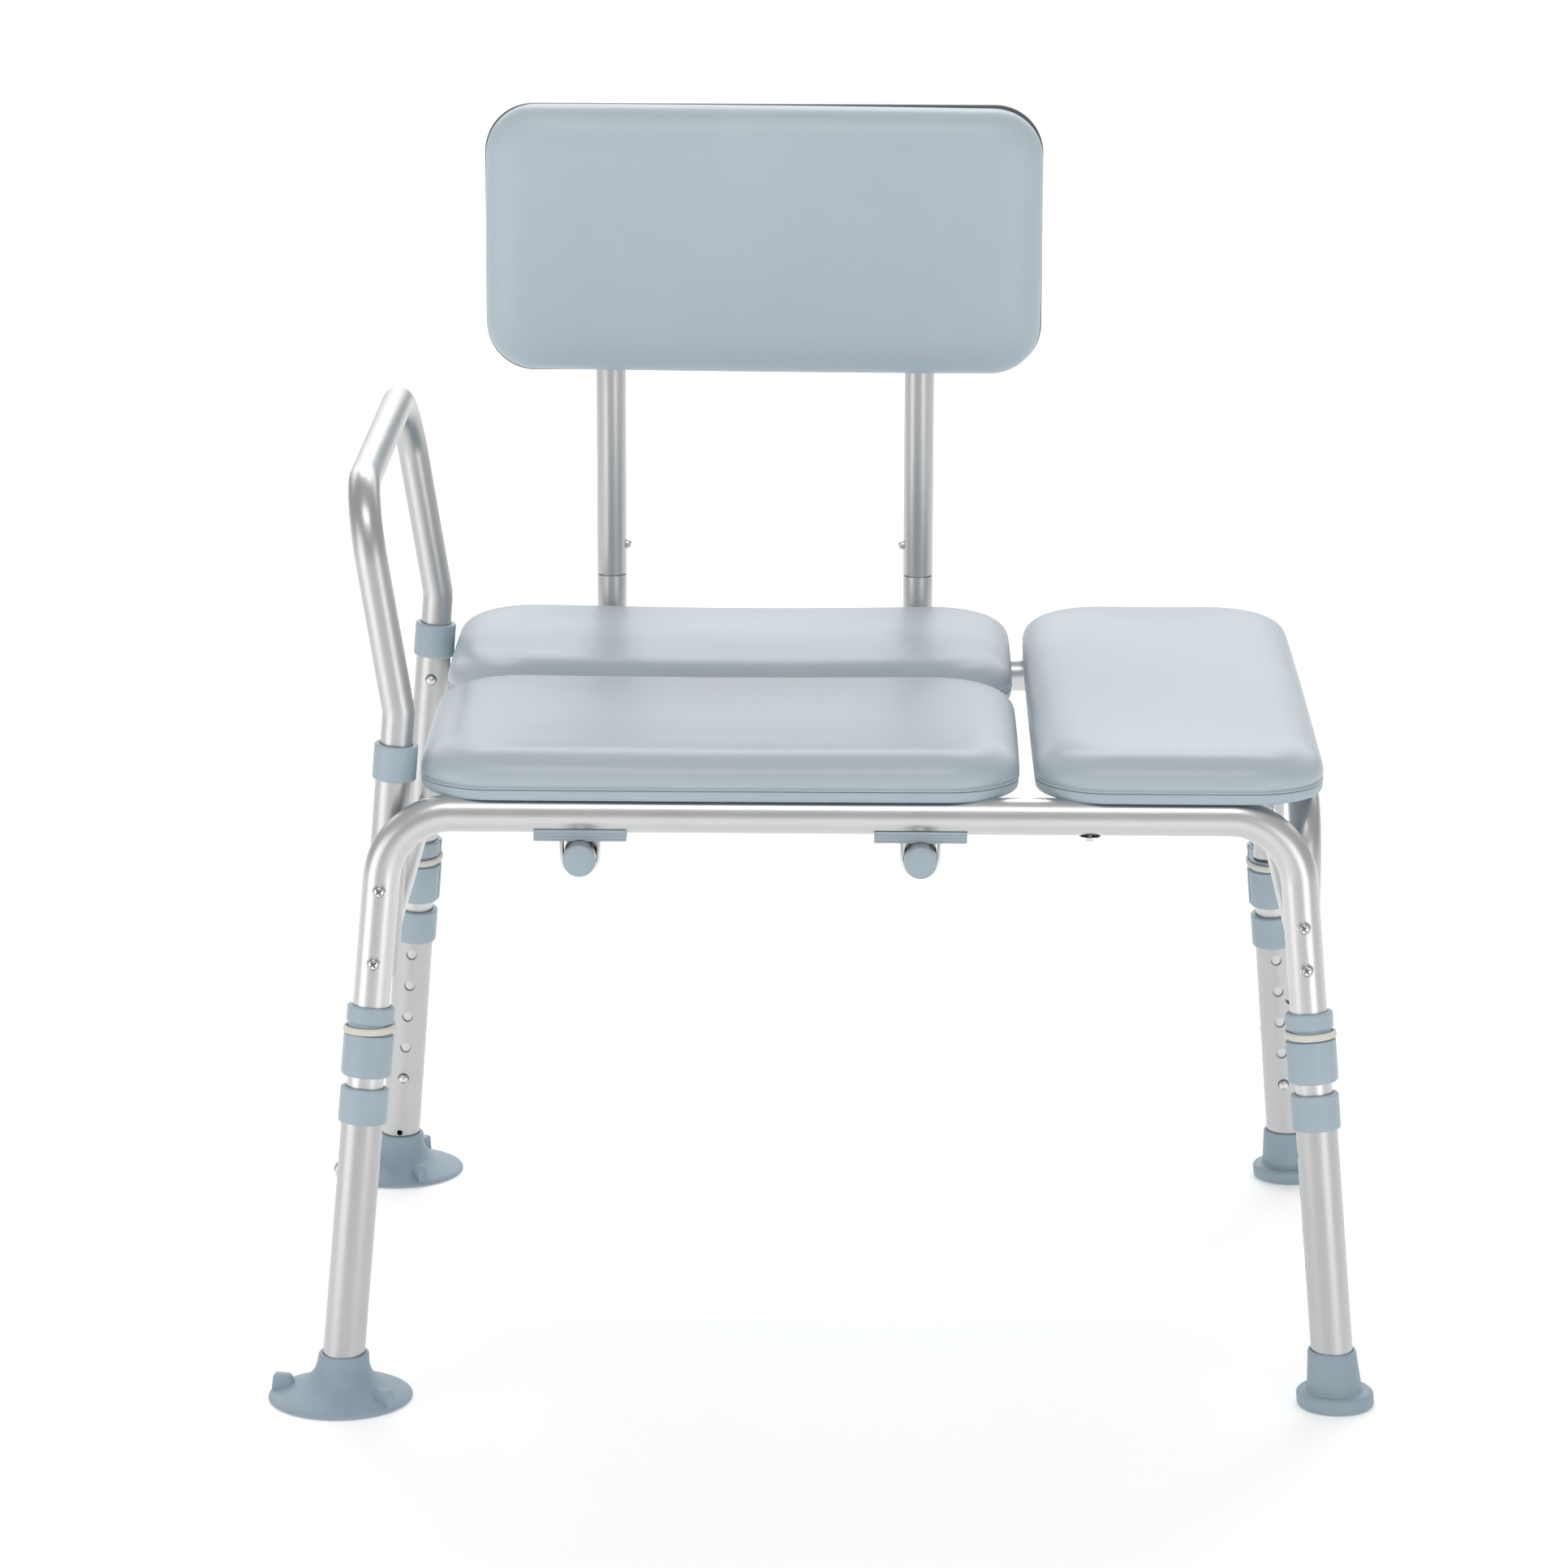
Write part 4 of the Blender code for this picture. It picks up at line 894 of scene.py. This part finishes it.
seam = [(60, 0), (2.4, 0), (0.9, 0.1), (0.25, 0.35), (0.0, 0.8), (0.1, 1.25), (0.55, 1.5), (1.05, 1.7), (1.1, 2.05), (0.7, 2.6), (0.35, 3.6), (0.2, 5.2)]
for label, (x, y) in SEATS.items():
    prof = rolled(seam, 5.2, 21.8, 40.0, 16)
    prof = crown(prof, 9, 29.2 * MM, min(x[1] - x[0], y[1] - y[0]) / 2 - 3 * MM)
    ob = cushion("cushion_" + label, x, y, PAD_CORNER + 3 * MM, prof, bow=1.0 * MM, sag=SAG[label], pucker=0.5 * MM)
    ob.data.transform(Matrix.Translation((0, 0, zp0)))
    place(ob, PAD, "frame", "seat_pad_" + label, angle=70)
    base = [(60, 0), (5.2, 0), (4.4, -1.0), (3.4, -1.7), (2.2, -1.6), (1.2, -0.6), (0.7, 1.4), (0.6, 4.2), (0.6, 5.3), (0.9, 5.7), (60, 5.7)]
    ob = cushion("shell_" + label, x, y, PAD_CORNER + 3 * MM, [(d * MM, z * MM) for d, z in base], bow=1.0 * MM, ripple=0)
    ob.data.transform(Matrix.Translation((0, 0, SEAT_Z0)))
    place(ob, SHELL, "frame", "seat_board_" + label, angle=60)

yb1 = POST_Y - THIN_R - GAP
stand = Matrix(((1, 0, 0, 0), (0, 0, -1, 0), (0, 1, 0, 0), (0, 0, 0, 1)))
inset = 0.5 * MM
bx, bz = (BACK_X[0] + inset, BACK_X[1] - inset), (BACK_Z[0] + inset, BACK_Z[1] - inset)
prof = rolled([(50, 0), (1.6, 0), (0.6, 0.35), (0.1, 1.1), (0.0, 2.4), (0.0, 4.5)], 4.5, 23.0, 42.0, 18)
prof = crown(prof, 8, 29.6 * MM, (bz[1] - bz[0]) / 2 - 3 * MM)
ob = cushion("cushion_back", bx, bz, BACK_CORNER + 1 * MM, prof, bow=0.8 * MM)
tilt = Matrix.Translation(((BACK_X[0] + BACK_X[1]) / 2, 0, (BACK_Z[0] + BACK_Z[1]) / 2)) @ Matrix.Rotation(math.radians(0.35), 4, "Y") @ Matrix.Translation((-(BACK_X[0] + BACK_X[1]) / 2, 0, -(BACK_Z[0] + BACK_Z[1]) / 2))
ob.data.transform(tilt @ Matrix.Translation((0, yb1 - BACK_BOARD_T - GAP, 0)) @ stand)
# the back pad takes the lighter copy of the skin, which is painted light
place(ob, BACKPAD_PAINTED_LIGHTER, "back_rest", "back_pad", angle=70)
# near-black backing board behind the back pad; its rim is the painted shaded gap line
base = [(50, 0), (1.2, 0), (0.4, 0.5), (0.2, 1.2), (0.2, 4.8), (0.4, 5.5), (1.2, 6.0), (50, 6.0)]
ob = cushion("board_back", BACK_X, BACK_Z, BACK_CORNER, [(d * MM, z * MM) for d, z in base], ripple=0)
ob.data.transform(Matrix.Translation((0, yb1, 0)) @ stand)
place(ob, BACK_BOARD_GAP_SHADE, "back_rest", "back_board", angle=60)

# screw and washer under the front bar, below the seat extension
ob = cross_screw("seat_screw", (169.2 * MM, -HALF_D, BAR_H - FRAME_R - 1.1 * MM), (0, 0, -1), 4.6 * MM, 3.2 * MM, washer=7.4 * MM)
place(ob, CHROME, "frame")
shade_recess(ob)

# ------------------------------------------------------------------ floor, light, camera
bpy.ops.mesh.primitive_plane_add(size=80, location=(0, 10, -0.0005))
floor = bpy.context.object
floor.name = "floor"
fm, nt, b = new_mat("pale_floor", (0.9, 0.9, 0.9), 0.0, 0.9, Emission_Color=(1.0, 1.0, 1.0, 1.0), Emission_Strength=0.24)
nt.links.new(ramp(nt, noise_tex(nt, coords(nt), 0.8, 2.0), [(0.3, (0.895, 0.897, 0.9)), (0.7, (0.905, 0.905, 0.905))]), b.inputs["Base Color"])
floor.data.materials.append(fm)
scene.view_settings.view_transform = "Standard"

world = bpy.data.worlds.new("studio")
scene.world = world
world.use_nodes = True
world.node_tree.nodes["Background"].inputs["Color"].default_value = (1.0, 1.0, 1.0, 1.0)
world.node_tree.nodes["Background"].inputs["Strength"].default_value = WORLD


def softbox(name, loc, target, size, size_y, radiance):
    ld = bpy.data.lights.new(name, "AREA")
    ld.shape = "RECTANGLE"
    ld.size, ld.size_y, ld.energy = size, size_y, radiance * math.pi * size * size_y
    lo = bpy.data.objects.new(name, ld)
    scene.collection.objects.link(lo)
    lo.location = loc
    lo.rotation_euler = (Vector(target) - Vector(loc)).to_track_quat("-Z", "Y").to_euler()
    lo.visible_camera = False
    return lo


softbox("softbox_front", (-0.1, -1.9, 3.2), (0, 0, 0.45), 2.0, 0.9, 3.7)
softbox("softbox_rear", (0.0, 5.2, 2.7), (0, 0, 0.45), 8.0, 3.0, 0.92)
softbox("softbox_rear_high", (0.1, 2.75, 3.75), (0, 0, 0.45), 2.8, 0.65, 8.0)
softbox("floor_wash", (0.0, 14.0, 7.0), (0, 14.0, 0.0), 24.0, 16.0, 0.9)
softbox("strip_left", (-1.5, -0.95, 0.5), (0, 0, 0.45), 1.1, 1.1, 1.15)
softbox("strip_right", (1.15, -1.5, 0.5), (0, 0, 0.45), 0.9, 1.1, 1.25)

cam = bpy.data.cameras.new("camera")
camera = bpy.data.objects.new("camera", cam)
scene.collection.objects.link(camera)
scene.camera = camera
cam.sensor_width = 36.0
cam.lens = 7494.8 / 1932 * 36.0
cam.clip_end = 100
yaw, pitch, roll_ = -0.016, 0.2478, 0.0022
fwd = Vector((math.sin(yaw) * math.cos(pitch), math.cos(yaw) * math.cos(pitch), -math.sin(pitch)))
right = Vector((math.cos(yaw), -math.sin(yaw), 0))
up = right.cross(fwd)
r2 = right * math.cos(roll_) + up * math.sin(roll_)
u2 = -right * math.sin(roll_) + up * math.cos(roll_)
camera.matrix_world = Matrix.Translation(Vector((0.02556 + X_OFF, -4.2033, 1.43503))) @ Matrix((r2, u2, -fwd)).transposed().to_4x4()
